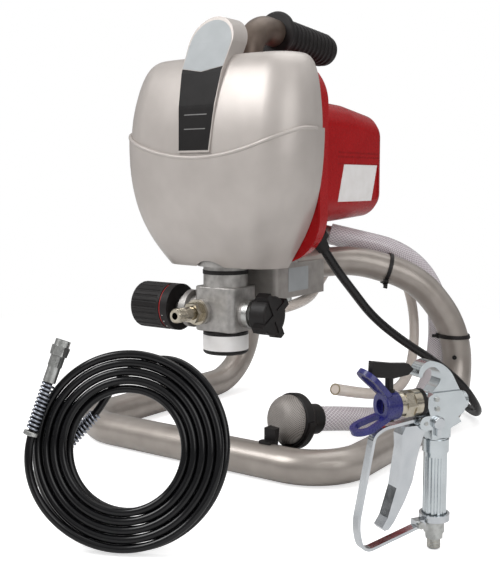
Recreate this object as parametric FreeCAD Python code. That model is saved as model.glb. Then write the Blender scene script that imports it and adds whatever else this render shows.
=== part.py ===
import FreeCAD
import Part
import os
import math

# Airless paint sprayer on a bent tube stand, with its high pressure hose and spray gun.
# Millimetres. +X is the viewer's right from the front, +Y is back towards the motor,
# +Z is up, and the origin is on the floor at the middle of the stand.

V = FreeCAD.Vector
X, Y, Z = V(1, 0, 0), V(0, 1, 0), V(0, 0, 1)

# Clearances
gap = 0.3            # between pieces that move past each other
seat_gap = 0.1       # between pieces of one body that fit inside each other
run_fit = 0.05       # radial, shafts in bearings

# Stand
tube_r = 16.0
tube_wall = 2.0
stand_front_y = -143.0
stand_front_x = 155.0
stand_rear_x = 150.0
stand_rear_y = 150.0
front_bend_r = 50.0
rear_bend_r = 62.0
arch_points = [(141, 154, 105), (106, 128, 162), (52, 84, 182)]
tube_end_x = 23.0
tube_end_y = -14.0
tube_end_z = 180.0
tube_mouth_y = 44.0

# Bracket between the stand and the drive housing
bracket_x = 41.0
bracket_front_y = -60.0
bracket_rear_y = 36.0
bracket_low_z = 151.0
bracket_top_z = 186.0
bolt_r = 3.0
bolt_head_r = 5.2
bolt_head_h = 4.5

# Front cover
cover_wall = 2.8
cover_back_y = -78.0
cover_low_z = 186.0
cover_levels = [
    # height, half width, front face, corner radius
    (186, 64, -112, 24),
    (205, 76, -124, 30),
    (235, 91, -134, 35),
    (270, 100, -138, 37),
    (305, 103, -137, 36),
    (340, 102, -132, 35),
    (366, 98, -124, 34),
    (380, 92, -116, 30),
    (387, 80, -105, 20),
]
apron_proud = 2.4
apron_mid_z = 291.0
apron_rise = 26.0
tongue_top_z = 424.0
tongue_low_z = 295.0
tongue_top_half = 26.0
tongue_low_half = 18.5
tongue_depth = 23.0
tongue_front = [(-139.5, 295), (-134.5, 338), (-126.5, 370), (-112, 399), (-102, 424)]

# Rear housing
shell_wall = 2.5
shell_front_y = cover_back_y + gap
motor_start_y = -8.0
motor_end_y = 130.0
motor_half = 62.0
motor_low_z = 229.0
motor_top_z = 343.0
motor_swell = 9.0
motor_sag = 6.0
motor_corner = 26.0
side_plate_y = (24.0, 114.0)
side_plate_z = (246.0, 287.0)
side_line_z = (293.0, 297.5)
side_line_w = 1.6
vent_count = 7
vent_w = 3.0

# Motor
motor_z = 286.0
stator_r = 45.0
stator_bore_r = 27.5
stator_y = (14.0, 74.0)
winding_h = 3.6
rotor_r = 26.8
shaft_r = 5.0
pinion_bore_r = 3.6
commutator_r = 13.0
commutator_y = (80.0, 94.0)
fan_y = (-4.0, 6.0)
fan_r = 42.0
fan_blades = 9
bearing_r = 11.0
bearing_h = 8.0

# Gear pair and crank
module = 1.0
pinion_teeth = 12
gear_teeth = 84
gear_y = (-62.0, -50.0)
crank_shaft_r = 7.0
crank_throw = 8.0
crank_web_r = 18.0
crank_web_h = 8.0
crank_pin_r = 4.0
crank_z = motor_z - module * (pinion_teeth + gear_teeth) / 2

# Drive housing
casting_front_y = -75.0
casting_back_y = -20.0
casting_wall = 4.5
casting_low_r = 51.5
casting_top_r = 26.0
foot_low_z = bracket_top_z
foot_top_z = 200.0
neck_boss_r = 28.0
ear_depth = 2.7

# Pump
pump_y = -89.0
block_half_x = 24.0
block_half_y = 22.0
block_low_z = 122.0
block_top_z = 166.0
neck_r = 22.0
neck_top_z = 187.0
cylinder_r = 13.0
rod_r = 8.0
rod_low_z = 126.5
rod_top_z = 206.0
collar_r = 22.5
collar_low_z = 99.0
ball_r = 5.5
knob_r = 24.0
knob_end_x = -106.0
knob_start_x = -57.0
knob_z = 140.0
knob_ribs = 24
control_r = 17.0
prime_r = 19.0
prime_end_x = 60.0
prime_z = 140.0
outlet_x = -15.0
outlet_z = 141.0
outlet_thread_r = 6.8
outlet_end_y = -150.0
outlet_bore_r = 3.4

# Power switch
rocker_x = 1.3 - motor_half
rocker_y = 100.0
rocker_r = 2.3

# Handle
handle_r = 14.0
handle_y = -50.0
handle_low_z = 300.0
handle_z = 424.0
handle_bend_r = 32.0
handle_drop = 10.0
grip_r = 16.8
grip_start_y = -3.0
grip_end_y = 103.0
grip_flange_r = 23.0
grip_ribs = 5
grip_cap = 8.0

# Cords and hoses
cord_r = 4.5
gland_at = (81.0, -49.0, 214.0)
suction_r = 12.0
suction_bore_r = 9.0
return_r = 5.5
return_bore_r = 4.0
hose_r = 3.0
coil_gap = 0.45

port_heading = (-1.0, 1.0, 0.0)
port_z = 110.5
suction_pipe_rest = [(-37, -52, 110.5), (-61, -10, 130), (-66, 30, 182), (-44, 62, 211), (-10, 80, 215),
                     (14, 92, 209)]
suction_points = [(14, 92, 209), (45, 107.5, 201.2), (76, 134, 191), (98, 159, 167), (111, 172, 133),
                  (114, 173, 90), (117, 153, 50), (120, 115, 25), (121, 67, 17), (114, 14, 25),
                  (103, -34, 35), (90, -79, 42)]
return_points = [(34.1, -68.9, 140), (34.1, -42, 140), (32, -6, 141), (24, 34, 144), (13, 70, 156),
                 (12, 102, 178), (28, 128, 197), (57, 148, 190), (76, 158, 158), (86, 162, 122),
                 (92, 154, 84), (98, 130, 56), (105, 92, 44), (111, 48, 46), (116, 4, 54),
                 (118, -38, 64), (118, -76, 74)]
cord_points = [(95, 0, 157), (104, 24, 130), (124, 50, 104), (150, 80, 79), (170, 105, 53),
               (178.8, 129.9, 24.1), (167.6, 159.8, 8.3), (145.7, 182.9, 7.8), (122, 206, 14.2)]
strainer_r = 25.0
tie_places = [((79, 106, 172), (54, 44, -20)), ((141, 154, 96), (0, 0, 1))]

# High pressure hose coil: it stands on its rim, turned and leaned back
coil_foot = (90.0, -334.0)
coil_turn = 27.0
coil_lean = 14.0
coil_out_r = 77.0
coil_turns = 4.77
coil_start_turn = 0.14
coil_end_turn = 0.37
coil_leave_deg = 172.0
coil_lift = 9.6
coil_tuck = 5.0
coil_cross_r = 38.0
coil_cross_depth = 12.2
floor_gap = 0.15
guard_wire_r = 0.9
guard_turns = 12
guard_pitch = 3.0
guard_length = guard_turns * guard_pitch + 2 * guard_wire_r
ferrule_r = 4.8
ferrule_length = 20.0
nut_r = 6.9
nut_length = 12.0
nut_stem_r = 3.2
nut_thread_r = 4.9
nut_depth = 7.0

# Spray gun, in its own frame: +X is where it sprays, +Z is up its handle
gun_at = (276.0, -205.6, 0.0)
gun_turn = 240.0
gun_handle_r = 8.6
gun_nozzle_z = 111.0
gun_half = 7.5
gun_thread_r = 4.8
trigger_pivot = (14.0, 96.6)
lock_at = (4.5, 96.5)
needle_r = 1.5
tip_x = 41.0
wing_tilt = (-44.0, 20.0)
wing_root = 6.6
wing_root_r = 8.0
wing_end_r = 10.5
wing_reach = 19.0


def cylinder(r, length, at, axis):
    return Part.makeCylinder(r, length, V(*at), axis)


def ring(r_out, r_in, length, at, axis):
    return cylinder(r_out, length, at, axis).cut(cylinder(r_in, length + 2, V(*at) - axis, axis))


def block(x, y, z):
    return Part.makeBox(x[1] - x[0], y[1] - y[0], z[1] - z[0], V(x[0], y[0], z[0]))


def fuse(*solids):
    return solids[0].multiFuse(list(solids[1:])).removeSplitter()


def cut(solid, *tools):
    for tool in tools:
        solid = solid.cut(tool)
    return solid


def prism(points, along):
    # A flat outline pushed along a vector
    return Part.Face(Part.makePolygon([V(*p) for p in points] + [V(*points[0])])).extrude(along)


def arc(a, b, c):
    return Part.Arc(V(*a), V(*b), V(*c)).toShape()


def line(a, b):
    return Part.LineSegment(V(*a), V(*b)).toShape()


def save(name, shape):
    solids = shape.Solids
    good = all(s.isValid() and s.isClosed() for s in solids)
    Part.makeCompound(solids).exportStep("parts/" + name + ".step")
    print(name, len(solids), "solids", round(shape.Volume), "mm3", "ok" if good else "BAD")


def round_route(points, radii=None):
    # Straight runs joined by tangent arcs, and the radius of each arc
    pts = [V(*p) for p in points]
    edges, used, start = [], [], pts[0]
    for i in range(1, len(pts) - 1):
        back, ahead = pts[i - 1] - pts[i], pts[i + 1] - pts[i]
        half = (math.pi - back.getAngle(ahead)) / 2
        if radii and radii[i]:
            reach = radii[i] * math.tan(half)
        else:
            reach = 0.45 * min(back.Length, ahead.Length)
        radius = reach / math.tan(half)
        to_back, to_ahead = V(back).normalize(), V(ahead).normalize()
        enter, leave = pts[i] + to_back * reach, pts[i] + to_ahead * reach
        toward = (to_back + to_ahead).normalize()
        middle = pts[i] + toward * (radius / math.cos(half) - radius)
        edges += [line(start, enter), Part.Arc(enter, middle, leave).toShape()]
        used.append(round(radius, 1))
        start = leave
    edges.append(line(start, pts[-1]))
    return Part.Wire(edges), used


def pipe(wire, r, bore=0.0):
    first = wire.OrderedEdges[0]
    at = first.valueAt(first.FirstParameter)
    heading = first.tangentAt(first.FirstParameter)
    ends = [Part.Wire(Part.makeCircle(size, at, heading)) for size in (r, bore) if size]
    bodies = [wire.makePipeShell([end], True, False) for end in ends]
    return bodies[0].cut(bodies[1]) if bore else bodies[0]


def route_pipe(name, points, r, bore=0.0):
    wire, radii = round_route(points)
    body = pipe(wire, r, bore)
    expected = math.pi * (r * r - bore * bore) * wire.Length
    print(name, "radii", radii, "length", round(wire.Length), "volume ratio",
          round(body.Volume / expected, 4))
    return body


def stand_sleeve(extra):
    # One bent tube: the front run, two side runs and an arch on each side up to the bracket
    half = [(stand_front_x, stand_front_y, tube_r), (stand_rear_x, stand_rear_y, tube_r)]
    half += arch_points + [(tube_end_x, tube_mouth_y, tube_end_z), (tube_end_x, tube_end_y, tube_end_z)]
    radii = [front_bend_r, rear_bend_r] + [0] * (len(half) - 2)
    other = [(-p[0], p[1], p[2]) for p in reversed(half)]
    wire, used = round_route(other + half, list(reversed(radii)) + radii)
    if not extra:
        print("stand bends", used, "length", round(wire.Length))
    return pipe(wire, tube_r + extra)


def frame_tube():
    hole = cylinder(2.5, 20, (arch_points[0][0] - 4, arch_points[0][1] - 22, 96), Y)
    return cut(stand_sleeve(0), stand_sleeve(-tube_wall), hole)


def frame_bracket():
    x = (-bracket_x, bracket_x)
    body = block(x, (bracket_front_y, bracket_rear_y), (bracket_low_z, bracket_top_z))
    body = body.makeFillet(5, [e for e in body.Edges if abs(e.tangentAt(0).z) > 0.9])
    below = block((-bracket_x + 5, bracket_x - 5), (tube_end_y, bracket_rear_y - 5),
                  (bracket_low_z - 1, tube_end_z - tube_r - 4))
    return cut(body, below, stand_sleeve(seat_gap), *bolt_holes(seat_gap))


def bolt_places():
    return [(sx * (bracket_x - 9), y) for sx in (-1, 1) for y in (bracket_front_y + 12, tube_end_y - 13)]


def bolt_holes(extra):
    depth = foot_top_z - 4 - bracket_low_z
    return [cylinder(bolt_r + extra, depth + 1, (x, y, bracket_low_z - 1), Z) for x, y in bolt_places()]


def bracket_bolts():
    bolts = []
    for x, y in bolt_places():
        head = cylinder(bolt_head_r, bolt_head_h, (x, y, bracket_low_z - bolt_head_h), Z)
        shank = cylinder(bolt_r, foot_top_z - 5 - bracket_low_z, (x, y, bracket_low_z - 0.5), Z)
        bolts.append(fuse(head, shank))
    return Part.makeCompound(bolts)


def cover_section(level, inset):
    # A D shape: flat back, straight flanks, round corners and a bowed front
    z, half, front, corner = level
    half, front, corner = half - inset, front + inset, corner - inset
    back = cover_back_y + (1 if inset > 0 else 0)
    bow = 6.0
    turn = corner * (1 - math.sqrt(0.5))
    a, b = (-half, back, z), (-half, front + bow + corner, z)
    c = (-half + corner, front + bow * 0.6, z)
    mid_left = (-half + turn, front + bow + turn * 0.9, z)
    d = (half - corner, c[1], z)
    mid_right = (half - turn, mid_left[1], z)
    e, f = (half, b[1], z), (half, back, z)
    return Part.Wire([line(a, b), arc(b, mid_left, c), arc(c, (0, front, z), d),
                      arc(d, mid_right, e), line(e, f), line(f, a)])


def cover_body(inset, levels):
    return Part.makeLoft([cover_section(level, inset) for level in levels], True, False)


def tongue():
    face = [(-tongue_low_half, tongue_low_z), (tongue_low_half, tongue_low_z),
            (tongue_top_half, tongue_top_z - tongue_top_half)]
    top = arc((tongue_top_half, 0, face[2][1]), (0, 0, tongue_top_z), (-tongue_top_half, 0, face[2][1]))
    sides = [line((face[0][0], 0, face[0][1]), (face[1][0], 0, face[1][1])),
             line((face[1][0], 0, face[1][1]), (tongue_top_half, 0, face[2][1])), top,
             line((-tongue_top_half, 0, face[2][1]), (face[0][0], 0, face[0][1]))]
    slab = Part.Face(Part.Wire(sides))
    slab.translate(V(0, -160, 0))
    slab = slab.extrude(V(0, 160 + cover_back_y, 0))
    back = [(-60, y + tongue_depth, z) for y, z in reversed(tongue_front)]
    return slab.common(prism([(-60, y, z) for y, z in tongue_front] + back, V(120, 0, 0)))


def front_cover():
    skin = cover_body(0, cover_levels)
    apron = cover_body(-apron_proud, cover_levels)
    half = cover_levels[4][1]
    radius = (half * half + apron_rise * apron_rise) / (2 * apron_rise)
    below = cylinder(radius, 200, (0, -200, apron_mid_z + radius), Y)
    keep = block((-130, 130), (-160, cover_back_y), (cover_low_z, apron_mid_z + apron_rise)).cut(below)
    outer = fuse(skin, apron.common(keep), tongue())
    inner = cover_body(cover_wall, cover_levels[:-1])
    inner = inner.common(block((-130, 130), (-160, 0), (cover_low_z + cover_wall, 378)))
    throat = cylinder(neck_boss_r + 2, 40, (0, pump_y, cover_low_z - 5), Z)
    throat_back = block((-neck_boss_r - 2, neck_boss_r + 2), (pump_y, 0),
                        (cover_low_z - 5, cover_low_z + 20))
    shell = cut(outer, inner, throat, throat_back)
    deep = cover_body(1, cover_levels[:-1])
    bosses, holes = [], []
    for x, z in cover_screw_places():
        boss = cylinder(5.5, 70, (x, cover_back_y - 70, z), Y).common(deep)
        tail = cylinder(5.5, casting_front_y - seat_gap - cover_back_y + 2, (x, cover_back_y - 2, z), Y)
        bosses += [boss, tail]
        holes.append(cylinder(2.0, 24, (x, cover_back_y - 20, z), Y))
    return cut(fuse(shell, *bosses), *holes)


def cover_screw_places():
    return [(-66, 356), (66, 356), (-66, 226), (66, 226)]


def cover_screws():
    screws = []
    for x, z in cover_screw_places():
        head = cylinder(4.0, 3, (x, casting_front_y + ear_depth + 0.1, z), Y)
        shank = cylinder(1.9, 22, (x, casting_front_y + ear_depth + 0.2 - 22, z), Y)
        screws.append(fuse(head, shank))
    return Part.makeCompound(screws)


def shell_section(y, half, low, top, corner, inset):
    half, low, top = half - inset, low + inset, top - inset
    corner = max(corner - inset, 2)
    turn = corner * (1 - math.sqrt(0.5))
    r, l = half - corner, -half + corner
    return Part.Wire([
        line((l, y, low), (r, y, low)),
        arc((r, y, low), (half - turn, y, low + turn), (half, y, low + corner)),
        line((half, y, low + corner), (half, y, top - corner)),
        arc((half, y, top - corner), (half - turn, y, top - turn), (r, y, top)),
        line((r, y, top), (l, y, top)),
        arc((l, y, top), (-half + turn, y, top - turn), (-half, y, top - corner)),
        line((-half, y, top - corner), (-half, y, low + corner)),
        arc((-half, y, low + corner), (-half + turn, y, low + turn), (l, y, low))])


def shell_body(inset, start, end):
    # The skirt behind the cover narrows to the motor housing
    wide = (101, 190, 385, 44)
    levels = [(start, *wide), (-62, 100, 192, 384, 44), (-38, 84, 206, 370, 40),
              (motor_start_y, motor_half, motor_low_z - motor_sag, motor_top_z + motor_swell, motor_corner),
              (60, motor_half, motor_low_z - motor_sag / 2, motor_top_z + motor_swell - 2, motor_corner),
              (motor_end_y - 14, motor_half, motor_low_z, motor_top_z, motor_corner),
              (motor_end_y - 4, motor_half - 4, motor_low_z + 4, motor_top_z - 4, motor_corner - 4)]
    levels.append((end, motor_half - 11, motor_low_z + 11, motor_top_z - 11, motor_corner - 9))
    return Part.makeLoft([shell_section(*level, inset) for level in levels], True, True)


def rear_housing():
    outer = shell_body(0, shell_front_y, motor_end_y)
    inner = shell_body(shell_wall, shell_front_y - 0.01, motor_end_y - shell_wall)
    shell = outer.cut(inner)
    band = block((-motor_half + 1, motor_half - 1), (0, 3), (motor_low_z + 1, motor_top_z - 1))
    ribs = []
    for y in (stator_y[0] + 6, stator_y[1] - 9):
        rib = band.copy()
        rib.translate(V(0, y, 0))
        rib = rib.common(outer)
        ribs.append(rib.cut(cylinder(stator_r + seat_gap, 10, (0, y - 3, motor_z), Y)))
    end = motor_end_y - shell_wall
    boss = ring(bearing_r + 4, bearing_r + seat_gap, 14, (0, end - 13, motor_z), Y)
    webs = [block((-44, 44), (end - 8, end + 0.5), (motor_z - 1.5, motor_z + 1.5)),
            block((-1.5, 1.5), (end - 8, end + 0.5), (motor_z - 44, motor_z + 44))]
    webs = [web.cut(cylinder(bearing_r + 2, 20, (0, end - 12, motor_z), Y)) for web in webs]
    body = fuse(shell, *ribs, boss, *webs)
    vents = []
    for i in range(vent_count):
        z = motor_z - 36 + 12 * i
        for x in (-42, 20):
            vents.append(block((x, x + 22), (motor_end_y - 6, motor_end_y + 1), (z, z + vent_w)))
    side = [block((sx * motor_half - 0.8, sx * motor_half + 0.8), side_plate_y, side_plate_z)
            for sx in (-1, 1)]
    tube = cylinder(handle_r + gap, 60, (0, handle_y, 350), Z)
    depth = casting_back_y + gap - shell_front_y + 1
    lower_slot = casting_outline(gap, shell_front_y - 1, depth)
    foot_slot = block((-bracket_x - gap, bracket_x + gap), (shell_front_y - 1, casting_back_y + gap),
                      (foot_low_z - 10, foot_top_z + gap))
    lines = [block((sx * motor_half - 0.7, sx * motor_half + 0.7), (side_plate_y[0], motor_end_y),
                   (z, z + side_line_w)) for sx in (-1, 1) for z in side_line_z]
    gland = [gland_seat(7.8 + seat_gap, 36, 2), gland_seat(11 + seat_gap, 2.1, 5.2)]
    switch = block((-motor_half - 2, -motor_half + 6), (100 - 10.3, 100 + 10.3), (300 - 6.8, 300 + 6.8))
    side_vent = [block((-30, 30), (y, y + vent_w), (motor_low_z - 1, motor_low_z + 4))
                 for y in (84, 92, 100)]
    return cut(body, *vents, *side, *lines, tube, lower_slot, foot_slot, *gland, switch, *side_vent)


def gland_axis():
    return V(0.25, 0.5, -0.83).normalize()


def gland_seat(r, back, ahead):
    axis = gland_axis()
    return Part.makeCylinder(r, back + ahead, V(*gland_at) - axis * back, axis)


def casting_outline(extra, y, depth):
    low = cylinder(casting_low_r + extra, depth, (0, y, crank_z), Y)
    top = cylinder(casting_top_r + extra, depth, (0, y, motor_z + 8), Y)
    rise = motor_z + 8 - crank_z
    lean = math.asin((casting_low_r - casting_top_r) / rise)
    points = []
    for sx, r, z in ((1, casting_low_r, crank_z), (1, casting_top_r, motor_z + 8),
                     (-1, casting_top_r, motor_z + 8), (-1, casting_low_r, crank_z)):
        points.append((sx * (r + extra) * math.cos(lean), y, z + (r + extra) * math.sin(lean)))
    return fuse(low, top, prism(points, V(0, depth, 0)))


def drive_housing():
    depth = casting_back_y - casting_front_y
    outer = casting_outline(0, casting_front_y, depth)
    foot = block((-bracket_x, bracket_x), (casting_front_y, casting_back_y), (foot_low_z, foot_top_z))
    shelf = cylinder(neck_boss_r, foot_top_z - foot_low_z, (0, pump_y, foot_low_z), Z)
    shelf_web = block((-neck_boss_r, neck_boss_r), (pump_y, casting_front_y + 1), (foot_low_z, foot_top_z))
    socket = cylinder(handle_r + 5, handle_low_z + 34 - motor_z, (0, handle_y, motor_z + 12), Z)
    ears = [cylinder(8, ear_depth, (x, casting_front_y, z), Y) for x, z in cover_screw_places()]
    arms = []
    for x, z in cover_screw_places():
        inner = (0, motor_z + 8) if z > motor_z else (0, crank_z)
        run = V(x, 0, z) - V(inner[0], 0, inner[1])
        side = V(-run.z, 0, run.x).normalize() * 7
        at = V(inner[0], casting_front_y, inner[1])
        points = [at + side, at + run + side, at + run - side, at - side]
        arms.append(prism([tuple(p) for p in points], V(0, ear_depth, 0)))
    body = fuse(outer, foot, shelf, shelf_web, socket, *ears, *arms)
    room = casting_outline(-casting_wall, casting_front_y + casting_wall, depth - 2 * casting_wall)
    tools = [
        room.cut(cylinder(handle_r + 5, 60, (0, handle_y, motor_z + 14), Z)),
        cylinder(bearing_r + seat_gap, 30, (0, casting_back_y - 8.1, motor_z), Y),
        cylinder(bearing_r + seat_gap, 30, (0, casting_front_y - 25, crank_z), Y),
        cylinder(handle_r + seat_gap, 80, (0, handle_y, handle_low_z + 4), Z),
        cylinder(neck_r + seat_gap, 40, (0, pump_y, foot_low_z - 1), Z).common(
            block((-40, 40), (-140, 0), (0, neck_top_z + 0.1))),
        cylinder(cylinder_r + 1.5 + gap, 60, (0, pump_y, foot_low_z - 1), Z),
    ]
    tools += bolt_holes(seat_gap)
    tools += [cylinder(2.0 + seat_gap, 12, (x, casting_front_y - 4, z), Y) for x, z in cover_screw_places()]
    return cut(body, *tools)


def stator():
    body = ring(stator_r, stator_bore_r, stator_y[1] - stator_y[0], (0, stator_y[0], motor_z), Y)
    coils = []
    for turn in (0, 180):
        for y in (stator_y[0] - winding_h, stator_y[1]):
            coil = ring(stator_r - 4, stator_bore_r + 3, winding_h, (0, y, motor_z), Y)
            wedge = prism([(0, y, motor_z), (60, y, motor_z - 45), (60, y, motor_z + 45)],
                          V(0, winding_h, 0))
            wedge.rotate(V(0, 0, motor_z), Y, turn)
            coils.append(coil.common(wedge))
    return fuse(body, *coils)


def gear(teeth, y, width, z, phase, bore):
    # Straight sided teeth that narrow to the tip, with play between them
    pitch_r = module * teeth / 2
    step = 2 * math.pi / teeth
    root, tip = pitch_r - 1.2 * module, pitch_r + 0.85 * module
    points = []
    for i in range(teeth):
        middle = i * step + phase
        for r, share in ((root, -0.34), (tip, -0.11), (tip, 0.11), (root, 0.34)):
            angle = middle + share * step
            points.append((r * math.sin(angle), y, z + r * math.cos(angle)))
    body = prism(points, V(0, width, 0))
    return body.cut(cylinder(bore, width + 2, (0, y - 1, z), Y))


def rotor():
    core = cylinder(rotor_r, stator_y[1] - stator_y[0] - 2, (0, stator_y[0] + 1, motor_z), Y)
    slots = []
    for i in range(12):
        slot = block((-1.2, 1.2), (stator_y[0], stator_y[1]), (motor_z + rotor_r - 5, motor_z + rotor_r + 1))
        slot.rotate(V(0, 0, motor_z), Y, 30 * i)
        slots.append(slot)
    core = cut(core, *slots)
    comm = cylinder(commutator_r, commutator_y[1] - commutator_y[0], (0, commutator_y[0], motor_z), Y)
    shaft_end = motor_end_y - shell_wall - 2
    shaft = cylinder(shaft_r, shaft_end - gear_y[1] - 8, (0, gear_y[1] + 8, motor_z), Y)
    nose = cylinder(pinion_bore_r, gear_y[1] - gear_y[0] + 10, (0, gear_y[0] - 1, motor_z), Y)
    return fuse(core, comm, shaft, nose)


def pinion():
    # Half a tooth round, so that a gap faces the gear's tooth below
    return gear(pinion_teeth, gear_y[0] - 1, gear_y[1] - gear_y[0] + 2, motor_z,
                math.pi + math.pi / pinion_teeth, pinion_bore_r + run_fit)


def fan():
    hub = ring(10, shaft_r + seat_gap, fan_y[1] - fan_y[0], (0, fan_y[0], motor_z), Y)
    plate = ring(fan_r, 9, 1.6, (0, fan_y[0], motor_z), Y)
    blades = []
    for i in range(fan_blades):
        blade = block((-0.9, 0.9), (fan_y[0] + 1, fan_y[1]), (motor_z + 9, motor_z + fan_r - 1))
        blade.rotate(V(0, 0, motor_z + 9), Y, 22)
        blade.rotate(V(0, 0, motor_z), Y, 360 * i / fan_blades)
        blades.append(blade)
    return fuse(hub, plate, *blades)


def bearing(y, z, bore):
    outer = ring(bearing_r, bearing_r - 2, bearing_h - 0.4, (0, y, z), Y)
    shield = ring(bearing_r - 1.9, bore + 1.6, 1.0, (0, y + 1, z), Y)
    inner = ring(bore + 1.8, bore + run_fit, bearing_h - 0.4, (0, y, z), Y)
    return fuse(outer, shield, inner)


def motor_bearings():
    return Part.makeCompound([bearing(casting_back_y - bearing_h, motor_z, shaft_r),
                              bearing(motor_end_y - shell_wall - bearing_h - 2, motor_z, shaft_r)])


def brushes():
    pieces = []
    for sx in (-1, 1):
        box = block((commutator_r + gap, 40), (commutator_y[0] + 2, commutator_y[1] - 2),
                    (motor_z - 5, motor_z + 5))
        holder = block((26, motor_half - shell_wall - seat_gap), (commutator_y[0] - 2, commutator_y[1] + 2),
                       (motor_z - 7, motor_z + 7))
        pieces.append(fuse(box, holder))
        if sx < 0:
            pieces[-1].rotate(V(0, 0, motor_z), Y, 180)
    return Part.makeCompound(pieces)


def reduction_gear():
    body = gear(gear_teeth, gear_y[0], gear_y[1] - gear_y[0], crank_z, 0, crank_shaft_r + seat_gap)
    relief_r = module * gear_teeth / 2 - 7
    for y in (gear_y[0] - 1, gear_y[1] - 3):
        body = body.cut(ring(relief_r, crank_shaft_r + 6, 4, (0, y, crank_z), Y))
    holes = []
    for i in range(6):
        at = math.pi * i / 3
        holes.append(cylinder(5.5, 40, (21 * math.sin(at), gear_y[0] - 5, crank_z + 21 * math.cos(at)), Y))
    return cut(body, *holes)


def crankshaft():
    web_y = casting_front_y - 0.6 - crank_web_h
    shaft = cylinder(crank_shaft_r, -26 - web_y, (0, web_y, crank_z), Y)
    web = cylinder(crank_web_r, crank_web_h, (0, web_y, crank_z), Y)
    pin = cylinder(crank_pin_r, 2.2, (0, web_y - 2.1, crank_z + crank_throw), Y)
    return fuse(shaft, web, pin)


def crank_bearings():
    front = bearing(casting_front_y + 0.1, crank_z, crank_shaft_r)
    return front


def yoke():
    # Slotted yoke on top of the piston rod, ahead of the crank pin
    back = casting_front_y - 0.6 - crank_web_h - 2.5
    y = (back - 9, back)
    z = (crank_z - 13, crank_z + 13)
    plate = block((-21, 21), y, z)
    plate = plate.makeFillet(6, [e for e in plate.Edges if abs(e.tangentAt(0).y) > 0.9])
    slot = block((-crank_throw - crank_pin_r - 1, crank_throw + crank_pin_r + 1), (y[0] - 1, y[1] + 1),
                 (crank_z - crank_pin_r - 0.1, crank_z + crank_pin_r + 0.1))
    stem = cylinder(6.5, 4.5, (0, pump_y, rod_top_z), Z)
    neck = block((-6.5, 6.5), (y[0], y[1]), (rod_top_z + 3, crank_z - 10))
    return fuse(cut(plate, slot), stem, neck)


def piston_rod():
    rod = cylinder(rod_r, rod_top_z - seat_gap - rod_low_z - 14, (0, pump_y, rod_low_z + 14), Z)
    head = cylinder(cylinder_r - 2.2, 14.5, (0, pump_y, rod_low_z + 14), Z)
    return fuse(rod, head)


def packings():
    low = ring(cylinder_r - seat_gap, cylinder_r - 2.0, 5, (0, pump_y, rod_low_z + 18), Z)
    high = ring(cylinder_r - seat_gap, rod_r + run_fit, 9, (0, pump_y, 168), Z)
    return low, high


def pump_block():
    body = block((-block_half_x, block_half_x), (pump_y - block_half_y, pump_y + block_half_y),
                 (block_low_z, block_top_z))
    body = body.makeFillet(8, [e for e in body.Edges if abs(e.tangentAt(0).z) > 0.9])
    body = body.makeFillet(1.5, [e for e in body.Edges if e.BoundBox.ZLength < 0.01])
    neck = cylinder(neck_r, neck_top_z - block_top_z + 1, (0, pump_y, block_top_z - 1), Z)
    groove = ring(neck_r + 1, neck_r - 1.5, 4, (0, pump_y, 178), Z)
    outlet_boss = cylinder(12.5, 6, (outlet_x + 2, pump_y - block_half_y - 4, outlet_z), Y)
    knob_boss = cylinder(control_r, 8, (-block_half_x - 6, pump_y, knob_z), X)
    prime_boss = cylinder(14, 6, (block_half_x - 2, pump_y, prime_z), X)
    tools = [
        groove,
        cylinder(cylinder_r, 60, (0, pump_y, block_low_z + 10), Z),
        cylinder(9, 20, (0, pump_y, block_low_z - 1), Z),
        cylinder(7, 40, (-block_half_x - 7, pump_y, knob_z), X),
        cylinder(7, 15, (block_half_x - 10, pump_y, prime_z), X),
        cylinder(7.2, 20, (outlet_x, pump_y - block_half_y - 5, outlet_z), Y),
    ]
    return cut(fuse(body, neck, outlet_boss, knob_boss, prime_boss), *tools)


def neck_ring():
    return ring(neck_r + 0.6, neck_r - 1.4, 3.8, (0, pump_y, 178.1), Z)


def packing_nut():
    body = cylinder(cylinder_r + 1.5, 8, (0, pump_y, neck_top_z + 0.1), Z)
    spigot = cylinder(cylinder_r - seat_gap, 9.5, (0, pump_y, 178.0), Z)
    return fuse(body, spigot).cut(cylinder(rod_r + gap, 40, (0, pump_y, 170), Z))


def inlet_collar():
    # Ribbed collar nut under the block, with the seat and the caged ball above it
    body = cylinder(collar_r, block_low_z - collar_low_z - 0.1, (0, pump_y, collar_low_z), Z)
    body = body.makeChamfer(1.5, [e for e in body.Edges if e.BoundBox.ZLength < 0.01])
    band = ring(collar_r + 1, collar_r - 0.8, 15, (0, pump_y, collar_low_z + 4), Z)
    return cut(body, band, cylinder(15, 16, (0, pump_y, block_low_z - 12), Z), port_bore())


def port_bore():
    # The suction port runs out of the collar behind the pump, towards the left
    return Part.makeCylinder(suction_bore_r, 40, port_at(10), V(*port_heading).normalize())


def port_at(reach):
    return V(0, pump_y, port_z) + V(*port_heading).normalize() * reach


def collar_band():
    return ring(collar_r + 0.2, collar_r - 0.7, 14.8, (0, pump_y, collar_low_z + 4.1), Z).cut(port_bore())


def inlet_seat():
    base = block_low_z - 11.9
    body = cylinder(14.9, 11.7, (0, pump_y, base), Z)
    return cut(body, cylinder(3.5, 30, (0, pump_y, base + 4), Z),
               cylinder(ball_r + gap, 30, (0, pump_y, base + 6.5), Z),
               Part.makeCylinder(3.5, 30, V(0, pump_y, base + 4), V(*port_heading)))


def inlet_ball():
    base = block_low_z - 11.9 + 6.5
    return Part.makeSphere(ball_r, V(0, pump_y, base + ball_r + 0.05))


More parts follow.
